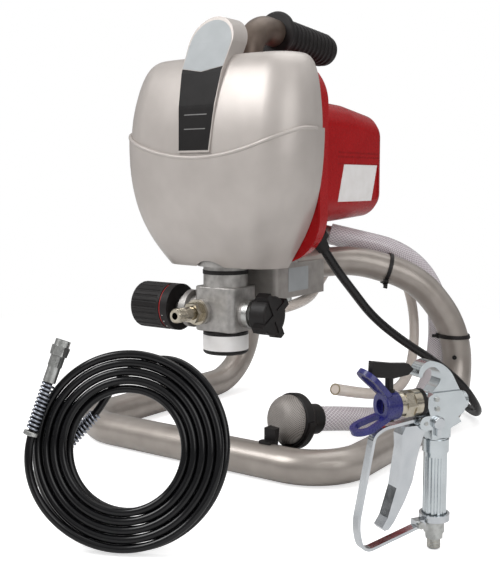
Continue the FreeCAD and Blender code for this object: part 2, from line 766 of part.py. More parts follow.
def outlet_fitting():
    at = pump_y - block_half_y - 4 - 0.1
    washer_end = at - 3
    hexagon = prism([(outlet_x + 10.4 * math.cos(a), washer_end - 8, outlet_z + 10.4 * math.sin(a))
                     for a in [math.pi * i / 3 for i in range(6)]], V(0, 8, 0))
    thread = cylinder(outlet_thread_r, washer_end - 7 - outlet_end_y, (outlet_x, outlet_end_y, outlet_z), Y)
    thread = thread.makeChamfer(0.9, [e for e in thread.Edges if abs(e.BoundBox.YMax - outlet_end_y) < 0.01])
    relief = ring(8, outlet_thread_r - 0.9, 2.5, (outlet_x, washer_end - 10.5, outlet_z), Y)
    spigot = cylinder(7.1, 14, (outlet_x, washer_end - 1, outlet_z), Y)
    return cut(fuse(hexagon, thread, spigot), relief,
               cylinder(outlet_bore_r, 80, (outlet_x, outlet_end_y - 1, outlet_z), Y))


def outlet_washer():
    return ring(12.5, 7.2, 2.9, (outlet_x, pump_y - block_half_y - 4 - 3.0, outlet_z), Y)


def control_body():
    neck = cylinder(control_r - 3, 20, (-block_half_x - 26.2, pump_y, knob_z), X)
    flange = cylinder(control_r + 2, 6, (-block_half_x - 20, pump_y, knob_z), X)
    stem = cylinder(5, 36, (knob_start_x - 28, pump_y, knob_z), X)
    spigot = cylinder(6.9, 16, (-block_half_x - 7, pump_y, knob_z), X)
    return fuse(neck, flange, stem, spigot)


def pressure_knob():
    length = knob_start_x - knob_end_x
    body = cylinder(knob_r, length, (knob_end_x, pump_y, knob_z), X)
    body = body.makeFillet(2.5, [e for e in body.Edges if abs(e.BoundBox.XMax - knob_end_x) < 0.01])
    grooves = []
    for i in range(knob_ribs):
        groove = cylinder(1.5, length - 13, (knob_end_x - 1, pump_y, knob_z + knob_r + 0.4), X)
        groove.rotate(V(0, pump_y, knob_z), X, 360 * i / knob_ribs)
        grooves.append(groove)
    band = ring(knob_r + 1, knob_r - 1, 2, (knob_start_x - 11, pump_y, knob_z), X)
    dish = cylinder(knob_r - 6, 2.5, (knob_end_x - 1, pump_y, knob_z), X)
    bore = cylinder(5 + gap, 31, (knob_start_x - 30, pump_y, knob_z), X)
    mouth = cylinder(control_r - 3 + gap, 4, (knob_start_x - 3, pump_y, knob_z), X)
    return cut(body.cut(Part.makeCompound(grooves)), band, dish, bore, mouth)


def prime_valve_body():
    start = block_half_x + 4.1
    base = cylinder(14, 6, (start, pump_y, prime_z), X)
    shank = cylinder(10, prime_end_x - 6 - start, (start, pump_y, prime_z), X)
    drain = cylinder(return_r + 0.4, 20, (start + 6, pump_y, prime_z), Y)
    barb = cylinder(return_bore_r - seat_gap, 8, (start + 6, pump_y + 20, prime_z), Y)
    spigot = cylinder(6.9, 12, (start - 12, pump_y, prime_z), X)
    return cut(fuse(base, shank, drain, barb, spigot),
               cylinder(2, 40, (start + 6, pump_y + 2, prime_z), Y))


def prime_valve_handle():
    start = block_half_x + 4.1 + 12 + gap
    body = cylinder(prime_r, prime_end_x - start - 1, (start, pump_y, prime_z), X)
    body = body.makeFillet(2, [e for e in body.Edges if e.BoundBox.XLength < 0.01])
    fins = []
    for angle in (0, 90, 180, 270):
        fin = block((start + 6, prime_end_x), (pump_y - 3.5, pump_y + 3.5), (prime_z, prime_z + prime_r + 5))
        fin.rotate(V(0, pump_y, prime_z), X, angle + 30)
        fins.append(fin)
    return fuse(body, *fins).cut(cylinder(10 + gap, 60, (start - 30, pump_y, prime_z), X).common(
        block((0, prime_end_x - 6 + gap), (-200, 0), (0, 300))))


def handle_line():
    # The straight part of the handle's axis: its start above the drive, and its heading
    start = V(0, handle_y, handle_z)
    return start, (V(0, grip_end_y, handle_z - handle_drop) - start).normalize()


def handle_tube():
    start, along = handle_line()
    end = start + along * (grip_end_y - handle_y - grip_cap)
    wire, used = round_route([(0, handle_y, handle_low_z + 4.1), tuple(start), tuple(end)],
                             [0, handle_bend_r, 0])
    print("handle bend", used)
    return pipe(wire, handle_r, handle_r - 2.2)


def handle_grip():
    start, along = handle_line()
    at = start + along * (grip_start_y - handle_y)
    length = grip_end_y - grip_start_y
    body = Part.makeCylinder(grip_r, length, at, along)
    body = body.makeFillet(5, [e for e in body.Edges if e.CenterOfMass.y > grip_end_y - 1 and e.Length > 60])
    flange = Part.makeCylinder(grip_flange_r, 6, at, along)
    flange = flange.makeFillet(2.5, [e for e in flange.Edges if e.Length > 60])
    collar = Part.makeCone(grip_flange_r - 3, grip_r, 9, at + along * 5, along)
    ribs = []
    for i in range(grip_ribs * 2):
        place = 22 + i * (length - 34) / (grip_ribs * 2 - 1)
        ribs.append(Part.makeTorus(grip_r - 0.6, 2.0, at + along * place,
                                   along))
    hole = Part.makeCylinder(handle_r + seat_gap, length - grip_cap + 1.2, at - along, along)
    return fuse(body, flange, collar, *ribs).cut(hole)


def power_switch():
    # Rocker on the left side of the motor housing, in its bezel
    bezel = block((-motor_half - 1.6, -motor_half + 5.4), (100 - 10, 100 + 10), (300 - 6.5, 300 + 6.5))
    well = block((-motor_half - 2, -motor_half + 4), (100 - 8, 100 + 8), (300 - 4.5, 300 + 4.5))
    profile = [(-motor_half - 1.0, 93.0, 295.8), (-motor_half - 3.2, 107.0, 295.8),
               (-motor_half + 1.5, 107.0, 295.8), (-motor_half + 2.6, 100, 295.8),
               (-motor_half + 1.5, 93.0, 295.8)]
    back = cylinder(rocker_r, 8.4, (rocker_x, rocker_y, 295.8), Z)
    return cut(bezel, well), fuse(prism(profile, V(0, 0, 8.4)), back)


def cord_gland():
    axis = gland_axis()
    at = V(*gland_at)
    collar = Part.makeCylinder(11, 5, at - axis * 2, axis)
    shank = Part.makeCylinder(7.8, 14, at - axis * 15, axis)
    cone = Part.makeCone(8, 6, 12, at + axis * 2.5, axis)
    bore = Part.makeCylinder(cord_r + seat_gap, 60, at - axis * 16, axis)
    return fuse(collar, shank, cone).cut(bore)


def turn_arcs(points, headings):
    # Two tangent arcs between each pair of points, so that the whole line is smooth
    edges = []
    for p0, t0, p1, t1 in zip(points, headings, points[1:], headings[1:]):
        chord, both = p1 - p0, t0 + t1
        spread = 2 * (1 - t0.dot(t1))
        across = chord.dot(both)
        if spread < 1e-9:
            edges.append(Part.LineSegment(p0, p1).toShape())
            continue
        reach = (math.sqrt(across ** 2 + spread * chord.dot(chord)) - across) / spread
        q0, q1 = p0 + t0 * reach, p1 - t1 * reach
        joint = (q0 + q1) / 2
        for a, q, b in ((p0, q0, joint), (joint, q1, p1)):
            flat = (a + b) / 2 - q
            half = math.pi / 2 - (a - q).getAngle(b - q) / 2
            radius = reach / math.tan(half)
            middle = q + V(flat).normalize() * (radius / math.cos(half) - radius)
            edges.append(Part.Arc(a, middle, b).toShape())
    return edges


def sample_turns(place, stops):
    step = 1e-4
    points = [place(s) for s in stops]
    headings = [(place(s + step) - place(s - step)).normalize() for s in stops]
    return points, headings


def least_gap(place, start, end, r, near):
    # Distance between the line and its own other turns, less the thickness
    count = int((end - start) * 24)
    pts = [place(start + (end - start) * i / count) for i in range(count + 1)]
    best = 1e9
    for i in range(count + 1):
        for j in range(i + near, count + 1):
            best = min(best, pts[i].distanceToPoint(pts[j]))
    return best - 2 * r


def blend_level(s, start, length):
    t = min(1, max(0, (s - start) / length))
    return t * t * (3 - 2 * t)


def power_cord():
    out, axis = V(*gland_at), gland_axis()
    return route_pipe("power cord", [tuple(out - axis * 2), tuple(out + axis * 32)] + cord_points, cord_r)


def power_plug():
    # Moulded plug with two flat blades and a round pin, lying behind the stand
    at = V(*cord_points[-1])
    heading = (at - V(*cord_points[-2])).normalize()
    body = Part.makeCone(6, 11, 26, at, heading)
    head = Part.makeCylinder(13.9, 16, at + heading * 25.5, heading)
    side = heading.cross(Z).normalize()
    pieces = [body, head]
    for shift in (-5, 5):
        centre = at + heading * 41 + side * shift
        blade = Part.makeBox(17, 1.6, 6.4, V(0, -0.8, -3.2))
        blade.Placement = FreeCAD.Placement(centre, FreeCAD.Rotation(X, heading))
        pieces.append(blade)
    pin = Part.makeCylinder(2.4, 19, at + heading * 41 - Z * 8, heading)
    return fuse(*pieces, pin)


def suction_pipe():
    wire, used = round_route([tuple(port_at(16))] + suction_pipe_rest)
    print("suction pipe bends", used)
    return pipe(wire, suction_bore_r - seat_gap)


def strainer_axis():
    a, b = V(*suction_points[-1]), V(*suction_points[-2])
    return (a - b).normalize()


def strainer():
    axis = strainer_axis()
    at = V(*suction_points[-1])
    spigot = Part.makeCylinder(suction_r + 2.5, 12, at - axis * 10, axis)
    spigot = spigot.cut(Part.makeCylinder(suction_r + seat_gap, 10.15, at - axis * 10.05, axis))
    back = Part.makeCone(suction_r + 2.5, 23, 12, at + axis * 1.5, axis)
    rim = Part.makeCylinder(strainer_r, 11, at + axis * 13, axis)
    rim = rim.makeFillet(2, [e for e in rim.Edges if e.Length > 60])
    hole = Part.makeCylinder(7, 60, at - axis * 0.1, axis)
    seat = Part.makeCylinder(strainer_r - 1.9, 8, at + axis * 17, axis)
    cap = cut(fuse(spigot, back, rim), hole, seat)
    dome_at = at + axis * 17.1
    drum = Part.makeCylinder(strainer_r - 2, 22, dome_at, axis)
    drum = drum.makeFillet(14, [e for e in drum.Edges if (e.CenterOfMass - dome_at).dot(axis) > 20
                                and e.Length > 60])
    inside = Part.makeCylinder(strainer_r - 3.6, 20, dome_at - axis, axis)
    inside = inside.makeFillet(12, [e for e in inside.Edges if (e.CenterOfMass - dome_at).dot(axis) > 18
                                    and e.Length > 60])
    return cap, drum.cut(inside)


def hose_clips():
    # A foot that snaps over the front tube and holds the strainer's rim, and two ties round the stand
    axis = strainer_axis()
    at = V(*suction_points[-1]) + axis * 18.5
    ring_r = strainer_r + gap
    loop = Part.makeCylinder(ring_r + 2.4, 7, at - axis * 3.5, axis)
    hollow = Part.makeCylinder(ring_r, 60, at - axis * 30, axis)
    loop = loop.common(block((at.x - 50, at.x + 50), (at.y - 60, at.y + 60), (at.z - 60, at.z + 2)))
    x = (at.x - 6, at.x + 6)
    saddle = stand_sleeve(gap + 2.4).common(block(x, (stand_front_y - 3, at.y), (tube_r - 8, 60)))
    post = block(x, (stand_front_y + 6, at.y + 3), (tube_r + 4, at.z))
    clip = cut(fuse(loop, saddle, post), hollow, stand_sleeve(gap))
    outer = stand_sleeve(1.6).cut(stand_sleeve(seat_gap))
    pieces = [clip]
    for place, heading in tie_places:
        at, along = V(*place), V(*heading).normalize()
        pieces.append(Part.makeCylinder(tube_r + 12, 4, at - along * 2, along).common(outer))
    return Part.makeCompound(pieces)


def coil_frame():
    turn, lean = math.radians(coil_turn), math.radians(coil_lean)
    front = V(math.sin(turn) * math.cos(lean), -math.cos(turn) * math.cos(lean), math.sin(lean))
    right = V(math.cos(turn), math.sin(turn), 0)
    return right, front.cross(right), front


def hose_coil_place():
    # In from the rim on the front layer, out again behind it, then across the back to its second end
    right, up, front = coil_frame()
    layer = 2 * hose_r + coil_gap
    line_r = coil_out_r - hose_r
    across = 2 * coil_turns

    def offset(s):
        r = line_r - layer * (s if s < coil_turns else across - s)
        if s < coil_start_turn:
            r -= coil_tuck * (1 - s / coil_start_turn) ** 2
        if s > across:
            r = line_r - (line_r - coil_cross_r) * blend_level(s, across + 0.14, 0.23)
        depth = layer * blend_level(s, coil_turns - 0.25, 0.5)
        depth += coil_cross_depth * blend_level(s, across - 0.06, 0.28)
        depth -= coil_lift * (1 - blend_level(s, 0, 2 * coil_start_turn))
        a = math.radians(coil_leave_deg) + 2 * math.pi * s
        return right * (r * math.cos(a)) + up * (r * math.sin(a)) - front * depth

    lowest = min(offset(i / 60).z for i in range(int(60 * across)))
    centre = V(coil_foot[0], coil_foot[1], hose_r + floor_gap - lowest)
    return lambda s: centre + offset(s)


def hose_ends():
    # The two fittings: where each starts, at the end of the turns, and which way it points
    place = hose_coil_place()
    points, headings = sample_turns(place, [0, 2 * coil_turns + coil_end_turn])
    return [(points[0], headings[0] * -1), (points[1], headings[1])]


def pressure_hose():
    place = hose_coil_place()
    across = 2 * coil_turns
    stops = [0.0] + [0.5 * i for i in range(1, int(coil_turns * 2 - 0.5))]
    stops += [coil_turns + 0.25 * i for i in (-1, 0, 1)]
    stops += [coil_turns + 0.25 + 0.5 * i for i in range(1, int(coil_turns * 2 - 0.5))]
    stops = sorted(set(round(s, 4) for s in stops if s < across - 0.1))
    stops += [across - 0.04, across + 0.05, across + 0.14, across + 0.255, across + coil_end_turn]
    stops = sorted(stops + [coil_start_turn, 2 * coil_start_turn])
    points, headings = sample_turns(place, stops)
    edges = turn_arcs(points, headings)
    (a, out_a), (b, out_b) = hose_ends()
    reach = guard_length + ferrule_length / 2
    edges.insert(0, Part.LineSegment(a + out_a * reach, a).toShape())
    edges.append(Part.LineSegment(b, b + out_b * reach).toShape())
    wire = Part.Wire(edges)
    print("hose coil length", round(wire.Length), "arcs", len(edges), "least gap",
          round(least_gap(place, 0, across + coil_end_turn, hose_r, 12), 2))
    return pipe(wire, hose_r)


def spring_guard(at, along):
    side = along.cross(Z).normalize()
    other = along.cross(side)
    r = hose_r + gap + guard_wire_r

    def place(s):
        a = 2 * math.pi * s
        out = side * (r * math.cos(a)) + other * (r * math.sin(a))
        return at + along * (guard_wire_r + s * guard_pitch) + out

    points, headings = sample_turns(place, [i / 2 for i in range(2 * guard_turns + 1)])
    return pipe(Part.Wire(turn_arcs(points, headings)), guard_wire_r)


def guard_end_ring(at, along):
    body = Part.makeCylinder(hose_r + gap + 2 * guard_wire_r + 0.6, 3, at - along * 3.05, along)
    return body.cut(Part.makeCylinder(hose_r + seat_gap, 5, at - along * 4, along))


def ferrule(at, along):
    start = at + along * guard_length
    sleeve = Part.makeCylinder(ferrule_r, ferrule_length, start, along)
    flat = Part.makePolygon([hex_point(start + along * (ferrule_length - 8), along, ferrule_r * 1.12, i)
                             for i in range(7)])
    flats = Part.Face(flat).extrude(along * 8)
    stem = Part.makeCylinder(nut_stem_r, nut_length - nut_depth, start + along * ferrule_length, along)
    socket = Part.makeCylinder(hose_r + seat_gap, ferrule_length / 2 + 0.2, start - along * 0.1, along)
    bore = Part.makeCylinder(1.5, 60, start, along)
    return cut(fuse(sleeve, flats, stem), socket, bore)


def hex_point(at, along, r, i):
    side = along.cross(Z).normalize()
    other = along.cross(side)
    a = math.pi * i / 3
    return at + side * (r * math.cos(a)) + other * (r * math.sin(a))


def swivel_nut(at, along):
    start = at + along * (guard_length + ferrule_length + gap)
    flats = Part.makePolygon([hex_point(start, along, nut_r, i) for i in range(7)])
    body = Part.Face(flats).extrude(along * (nut_length * 0.6))
    body = body.common(Part.makeCone(nut_r * 0.93, nut_r * 1.02, nut_length * 0.6, start, along))
    collar = Part.makeCylinder(nut_r * 0.82, nut_length, start, along)
    thread = Part.makeCylinder(nut_thread_r, nut_length, start + along * (nut_length - nut_depth), along)
    hole = Part.makeCylinder(nut_stem_r + gap / 2, nut_length, start - along, along)
    return cut(fuse(body, collar), thread, hole)


def gun_place(shape):
    shape = shape.copy()
    shape.rotate(V(0, 0, 0), Z, gun_turn)
    shape.translate(V(*gun_at))
    return shape


def side_outline(edges, half):
    # An outline in the gun's side view, given thickness both ways
    face = Part.Face(Part.Wire(edges))
    face.translate(V(0, -half, 0))
    return face.extrude(V(0, 2 * half, 0))


def flat_points(points):
    return [(x, 0, z) for x, z in points]


def gun_body():
    lower = [(4.9, 121.9), (8.3, 117.6), (12.3, 115.4), (13, 109), (9.6, 99), (8.8, 84.2), (-7.5, 84.2),
             (-7.5, 91), (-17, 94.8), (-14, 99), (-19, 101.5), (-21.5, 108.9), (-10, 129)]
    pts = flat_points(lower)
    edges = [line(a, b) for a, b in zip(pts, pts[1:])]
    edges.append(arc(pts[-1], (1, 0, 138.6), (10.5, 0, 141.4)))
    edges.append(arc((10.5, 0, 141.4), (17.6, 0, 138), (20.2, 0, 131.6)))
    edges.append(arc((20.2, 0, 131.6), (18.4, 0, 129.8), (16.8, 0, 130.6)))
    edges.append(arc((16.8, 0, 130.6), (4.7, 0, 135.6), pts[0]))
    head = side_outline(edges, gun_half)
    waist = block((-40, 40), (-20, -gun_half + 1.8), (118, 150)).fuse(
        block((-40, 40), (gun_half - 1.8, 20), (118, 150)))
    barrel = cylinder(7.4, 22, (-14, 0, gun_nozzle_z), X)
    nose = cylinder(6.6, 12.4, (7, 0, gun_nozzle_z), X)
    rear = cylinder(6.4, 7, (-24, 0, gun_nozzle_z - 2), X)
    lugs = []
    for y in (-gun_half, gun_half - 1.7):
        lug = fuse(cylinder(5.2, 1.7, (trigger_pivot[0], y, trigger_pivot[1]), Y),
                   block((4, trigger_pivot[0]), (y, y + 1.7),
                         (trigger_pivot[1] - 5.2, trigger_pivot[1] + 5.2)))
        lugs.append(lug.cut(cylinder(1.5 + run_fit, 30, (trigger_pivot[0], -15, trigger_pivot[1]), Y)))
    stem = cylinder(gun_handle_r - 2, 9, (0, 0, 76), Z)
    body = fuse(head.cut(waist), barrel, nose, rear, *lugs, stem)
    tools = [cylinder(needle_r + run_fit, 60, (-14, 0, gun_nozzle_z), X),
             cylinder(3.0, 16, (4.5, 0, gun_nozzle_z), X),
             cylinder(2.5, 60, (0, 0, 60), Z).common(block((-9, 9), (-9, 9), (60, gun_nozzle_z - 2))),
             cylinder(3.0 + run_fit, 12, (lock_at[0], gun_half - 6, lock_at[1]), Y)]
    return cut(body, *tools)


def gun_side_screws():
    screws = []
    for x, z in ((5.5, 113.5), (4.8, 106.5)):
        head = cylinder(1.9, 1.2, (x, gun_half, z), Y)
        slot = block((x - 2.5, x + 2.5), (gun_half + 0.7, gun_half + 2), (z - 0.35, z + 0.35))
        screws.append(head.cut(slot))
    return screws


def gun_handle():
    low, top = 21.8, 84.0
    body = cylinder(gun_handle_r, top - low, (0, 0, low), Z)
    flutes = []
    for i in range(12):
        flute = cylinder(1.5, top - low - 18, (gun_handle_r + 0.5, 0, low + 4), Z)
        flute.rotate(V(0, 0, 0), Z, 30 * i)
        flutes.append(flute)
    collar = cylinder(gun_handle_r + 1.0, 9.5, (0, 0, top - 10.5), Z)
    foot = cylinder(gun_handle_r + 0.6, 4, (0, 0, low), Z)
    body = fuse(body.cut(Part.makeCompound(flutes)), collar, foot)
    return cut(body, cylinder(gun_handle_r - 2 + seat_gap, 12, (0, 0, 75.8), Z),
               cylinder(3, 80, (0, 0, 10), Z), cylinder(5 + seat_gap, 8.2, (0, 0, low - 0.1), Z))


def gun_connector():
    # Swivel at the foot of the handle, with its thread
    stem = cylinder(5 - run_fit, 8, (0, 0, 21.5), Z)
    collar = cylinder(7.6, 8.5, (0, 0, 13), Z)
    flats = prism([(7.0 * math.cos(math.pi * i / 3), 7.0 * math.sin(math.pi * i / 3), 8.5)
                   for i in range(6)],
                  V(0, 0, 5))
    thread = cylinder(gun_thread_r, 9, (0, 0, 0.3), Z)
    thread = thread.makeChamfer(0.7, [e for e in thread.Edges if e.BoundBox.ZMax < 0.4])
    return cut(fuse(stem, collar, flats, thread), cylinder(2, 60, (0, 0, -1), Z))


def gun_trigger():
    px, pz = trigger_pivot
    outline = [(13.5, 91), (19.5, 95.4), (30, 95.4), (33, 90), (32.5, 80), (37, 52), (44, 31), (48.5, 24.5),
               (46.5, 22), (43, 22.5), (38.5, 27.5), (30, 41), (23.5, 55), (19, 75)]
    pts = flat_points(outline + outline[:1])
    blade = side_outline([line(a, b) for a, b in zip(pts, pts[1:])], 5.4)
    hollow = blade.copy()
    hollow.translate(V(-3.2, 0, 0))
    hollow = hollow.common(block((-10, 60), (-3.8, 3.8), (24, 90)))
    lug = cylinder(4.0, 10.8, (px, -5.4, pz), Y)
    web = prism([(px - 3.4, -5.4, pz - 2), (px + 3.9, -5.4, pz - 1), (24, -5.4, 95), (14.5, -5.4, 91.5)],
                V(0, 10.8, 0))
    fork = block((px - 6, px + 5.4), (-3.9, 3.9), (pz - 6, pz + 6))
    pin_hole = cylinder(1.5 + run_fit, 30, (px, -15, pz), Y)
    return cut(fuse(blade.cut(hollow), lug, web), fork, pin_hole)


def trigger_pin():
    return cylinder(1.5, 2 * gun_half + 1, (trigger_pivot[0], -gun_half - 0.5, trigger_pivot[1]), Y)


def gun_needle():
    rod = cylinder(needle_r, 24, (-11, 0, gun_nozzle_z), X)
    return rod.makeChamfer(0.8, [e for e in rod.Edges if e.BoundBox.XMin > 12.9])


def trigger_guard():
    # Flat strap from the head round the trigger to a clamp on the handle
    points = [(10.2, 0, 99.7), (46, 0, 95.6), (54, 0, 91), (67.5, 0, 26), (62, 0, 7.5), (10.6, 0, 20.4)]
    wire, used = round_route(points, [0, 20, 8, 40, 8, 0])
    start = V(*points[0])
    along = (V(*points[1]) - start).normalize()
    across = along.cross(Y)
    corners = [start + Y * sy * 3.5 + across * sx * 1.1 for sx, sy in ((1, 1), (1, -1), (-1, -1), (-1, 1))]
    strap = wire.makePipeShell([Part.makePolygon(corners + corners[:1])], True, False)
    band = ring(gun_handle_r + 2.6, gun_handle_r + 0.6 + seat_gap, 5, (0, 0, 22.2), Z)
    ear = block((gun_handle_r + 1.4, 18), (-3.5, 3.5), (18.5, 24))
    ear = ear.cut(cylinder(gun_handle_r + 0.7, 30, (0, 0, 0), Z))
    screw_hole = cylinder(1.5 + seat_gap, 20, (15, -10, 20.8), Y)
    return fuse(strap, band, ear).cut(screw_hole)


def guard_screw():
    return fuse(cylinder(2.6, 2.4, (15, 3.6, 20.8), Y), cylinder(1.5, 3, (15, 1.2, 20.8), Y))


def trigger_lock():
    x, z = lock_at
    stem = cylinder(3.0, 6.4, (x, gun_half - 5.8, z), Y)
    boss = cylinder(4.6, 3.2, (x, gun_half + gap, z), Y)
    boss = boss.makeFillet(1, [e for e in boss.Edges if e.BoundBox.YMin > gun_half + 3])
    lever = block((x - 1.7, x + 1.7), (gun_half + gap, gun_half + gap + 2.4), (z - 9.5, z))
    return fuse(stem, boss, lever)


def nozzle_nut():
    start = 17.4
    rear = cylinder(9.6, 6, (start, 0, gun_nozzle_z), X)
    flats = prism([(start + 5, 9.9 * math.cos(math.pi * i / 3),
                    gun_nozzle_z + 9.9 * math.sin(math.pi * i / 3)) for i in range(6)], V(8, 0, 0))
    front = cylinder(8.6, 4.6, (start + 12.6, 0, gun_nozzle_z), X)
    return cut(fuse(rear, flats, front), cylinder(6.6 + seat_gap, 3, (start - 0.5, 0, gun_nozzle_z), X),
               cylinder(2.2, 60, (0, 0, gun_nozzle_z), X))


def nozzle_ring():
    return ring(9.9, 6.6 + seat_gap, 2.8, (14.4, 0, gun_nozzle_z), X)


def loop_plate(x1, r1, x2, r2, thickness):
    # Two round ends joined by their common tangents, lying flat
    lean = math.asin((r2 - r1) / (x2 - x1))
    side, along = math.cos(lean), math.sin(lean)
    points = [(x - r * along, sy * r * side, -thickness / 2) for x, r, sy in
              ((x1, r1, 1), (x2, r2, 1), (x2, r2, -1), (x1, r1, -1))]
    ends = [cylinder(r, thickness, (x, 0, -thickness / 2), Z) for x, r in ((x1, r1), (x2, r2))]
    return fuse(*ends, prism(points, V(0, 0, thickness)))


def tip_guard():
    x, z = tip_x, gun_nozzle_z
    hub = cylinder(10.4, 13, (x - 5.9, 0, z), X)
    hub = hub.makeFillet(1.5, [e for e in hub.Edges if e.Length > 40])
    wings = []
    for tilt, root in ((wing_tilt[0], wing_root), (wing_tilt[1], -wing_root)):
        outer = loop_plate(5.5, wing_root_r, wing_reach, wing_end_r, 3.8)
        inner = loop_plate(9.5, wing_root_r - 3.6, wing_reach, wing_end_r - 4.2, 8)
        wing = outer.cut(inner)
        wing.rotate(V(0, 0, 0), Y, tilt)
        wing.translate(V(x + 2, 0, z + root))
        wings.append(wing)
    body = fuse(hub, *wings)
    return cut(body, cylinder(4.0 + run_fit, 60, (x, 0, z - 30), Z).common(
        block((x - 6, x + 6), (-6, 6), (z - 13, z + 30))),
        cylinder(2.0, 12, (x - 7, 0, z), X), cylinder(5.2, 12, (x + 3.2, 0, z), X))


def spray_tip():
    x, z = tip_x, gun_nozzle_z
    barrel = cylinder(4.0, 22.5, (x, 0, z - 11), Z)
    stem = cylinder(2.9, 11, (x, 0, z + 10), Z)
    bar = prism([(22.5, -2.8, 136), (26.5, -2.8, 140.2), (39, -2.8, 141.2), (56.5, -2.8, 144),
                 (57, -2.8, 133), (39, -2.8, 130.6), (26.5, -2.8, 132.2)], V(0, 5.6, 0))
    return fuse(barrel, stem, bar).cut(cylinder(1.0, 20, (x - 10, 0, z), X))


def outlet_ball():
    return Part.makeSphere(3.4, V(outlet_x, pump_y - block_half_y + 15 - 3.5, outlet_z))


def build():
    os.makedirs("parts", exist_ok=True)
    bezel, rocker = power_switch()
    cap, dome = strainer()
    low_packing, neck_packing = packings()
    ends = hose_ends()
    guards = [spring_guard(*end) for end in ends] + [guard_end_ring(*ends[0])]
    pieces = {
        "frame_tube": frame_tube(), "frame_bracket": frame_bracket(),
        "drive_fasteners": Part.makeCompound([bracket_bolts(), cover_screws()]),
        "front_cover": front_cover(), "rear_housing": rear_housing(), "drive_housing": drive_housing(),
        "motor_stator": stator(), "motor_rotor": rotor(), "motor_pinion": pinion(), "motor_fan": fan(),
        "shaft_bearings": Part.makeCompound([motor_bearings(), crank_bearings()]),
        "carbon_brushes": brushes(), "reduction_gear": reduction_gear(), "crankshaft": crankshaft(),
        "piston_yoke": yoke(), "piston_rod": Part.makeCompound([piston_rod(), low_packing]),
        "pump_block": pump_block(), "pump_seals": Part.makeCompound([neck_ring(), neck_packing]),
        "packing_nut": packing_nut(), "inlet_collar": inlet_collar(), "collar_band": collar_band(),
        "inlet_seat": inlet_seat(), "inlet_ball": inlet_ball(), "outlet_ball": outlet_ball(),
        "outlet_fitting": Part.makeCompound([outlet_fitting(), outlet_washer()]),
        "pressure_control": control_body(), "pressure_knob": pressure_knob(),
        "prime_valve": prime_valve_body(), "prime_valve_handle": prime_valve_handle(),
        "handle_tube": handle_tube(), "handle_grip": handle_grip(),
        "switch_bezel": bezel, "switch_rocker": rocker, "cord_gland": cord_gland(),
        "power_cord": power_cord(), "power_plug": power_plug(), "suction_pipe": suction_pipe(),
        "suction_hose": route_pipe("suction hose", suction_points, suction_r, suction_bore_r),
        "return_hose": route_pipe("return hose", return_points, return_r, return_bore_r),
        "strainer_cap": cap, "strainer_mesh": dome,
        "hose_clips": hose_clips(),
        "pressure_hose": pressure_hose(), "hose_guards": Part.makeCompound(guards),
        "hose_ferrules": Part.makeCompound([ferrule(*end) for end in ends]),
        "swivel_nut_near": swivel_nut(*ends[0]), "swivel_nut_far": swivel_nut(*ends[1]),
    }
    fasteners = Part.makeCompound([trigger_pin(), guard_screw()] + gun_side_screws())
    gun = {
        "gun_body": gun_body(), "gun_handle": gun_handle(), "gun_connector": gun_connector(),
        "gun_trigger": gun_trigger(), "gun_needle": gun_needle(), "gun_fasteners": fasteners,
        "trigger_guard": trigger_guard(), "trigger_lock": trigger_lock(), "nozzle_nut": nozzle_nut(),
        "nozzle_ring": nozzle_ring(), "tip_guard": tip_guard(), "spray_tip": spray_tip(),
    }
    for name, shape in pieces.items():
        save(name, shape)
    for name, shape in gun.items():
        save(name, gun_place(shape))


build()
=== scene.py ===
import bpy
import bmesh
import math
from mathutils import Matrix, Vector
from mathutils.bvhtree import BVHTree


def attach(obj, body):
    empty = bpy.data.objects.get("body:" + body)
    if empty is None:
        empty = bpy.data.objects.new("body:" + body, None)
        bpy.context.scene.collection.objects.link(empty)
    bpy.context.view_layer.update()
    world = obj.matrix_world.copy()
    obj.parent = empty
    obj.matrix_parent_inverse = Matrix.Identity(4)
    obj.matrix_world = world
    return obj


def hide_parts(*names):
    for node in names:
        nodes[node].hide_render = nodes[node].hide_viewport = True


# Airless paint sprayer: finishes for the CAD pieces, its hoses and cord, and the small trim.
# Metres. +X is to the right seen from the front, +Y is back towards the motor, +Z is up.

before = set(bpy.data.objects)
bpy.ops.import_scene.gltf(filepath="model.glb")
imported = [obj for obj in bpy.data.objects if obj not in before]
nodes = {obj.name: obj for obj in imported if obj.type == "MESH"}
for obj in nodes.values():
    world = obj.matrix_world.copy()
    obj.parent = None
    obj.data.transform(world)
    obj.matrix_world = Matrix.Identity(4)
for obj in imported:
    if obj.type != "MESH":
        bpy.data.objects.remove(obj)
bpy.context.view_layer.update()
print("frame loaded,", len(nodes), "nodes")
mm = 0.001


# ---------- nodes and finishes

def addNode(tree, kind, values=None, links=None):
    made = tree.nodes.new(kind)
    for key, value in (values or {}).items():
        if isinstance(key, int) or key in made.inputs:
            made.inputs[key].default_value = value
        else:
            setattr(made, key, value)
    for key, source in (links or {}).items():
        tree.links.new(source, made.inputs[key])
    return made


def linear(hexColour):
    # sRGB hex to the linear values that Blender's sockets take
    parts = [int(hexColour[i:i + 2], 16) / 255 for i in (1, 3, 5)]
    return [p / 12.92 if p <= 0.04045 else ((p + 0.055) / 1.055) ** 2.4 for p in parts] + [1.0]


def newFinish(name, sockets):
    material = bpy.data.materials.new(name)
    material.use_nodes = True
    tree = material.node_tree
    shader = tree.nodes["Principled BSDF"]
    for key, value in sockets.items():
        shader.inputs[key].default_value = value
    return material, tree, shader


def objectPoint(tree):
    return addNode(tree, "ShaderNodeTexCoord").outputs["Object"]


def noiseAt(tree, point, size, detail=2.0):
    # size is the width of one blotch in metres
    return addNode(tree, "ShaderNodeTexNoise", {"Scale": 1 / size, "Detail": detail},
                   {"Vector": point}).outputs["Fac"]


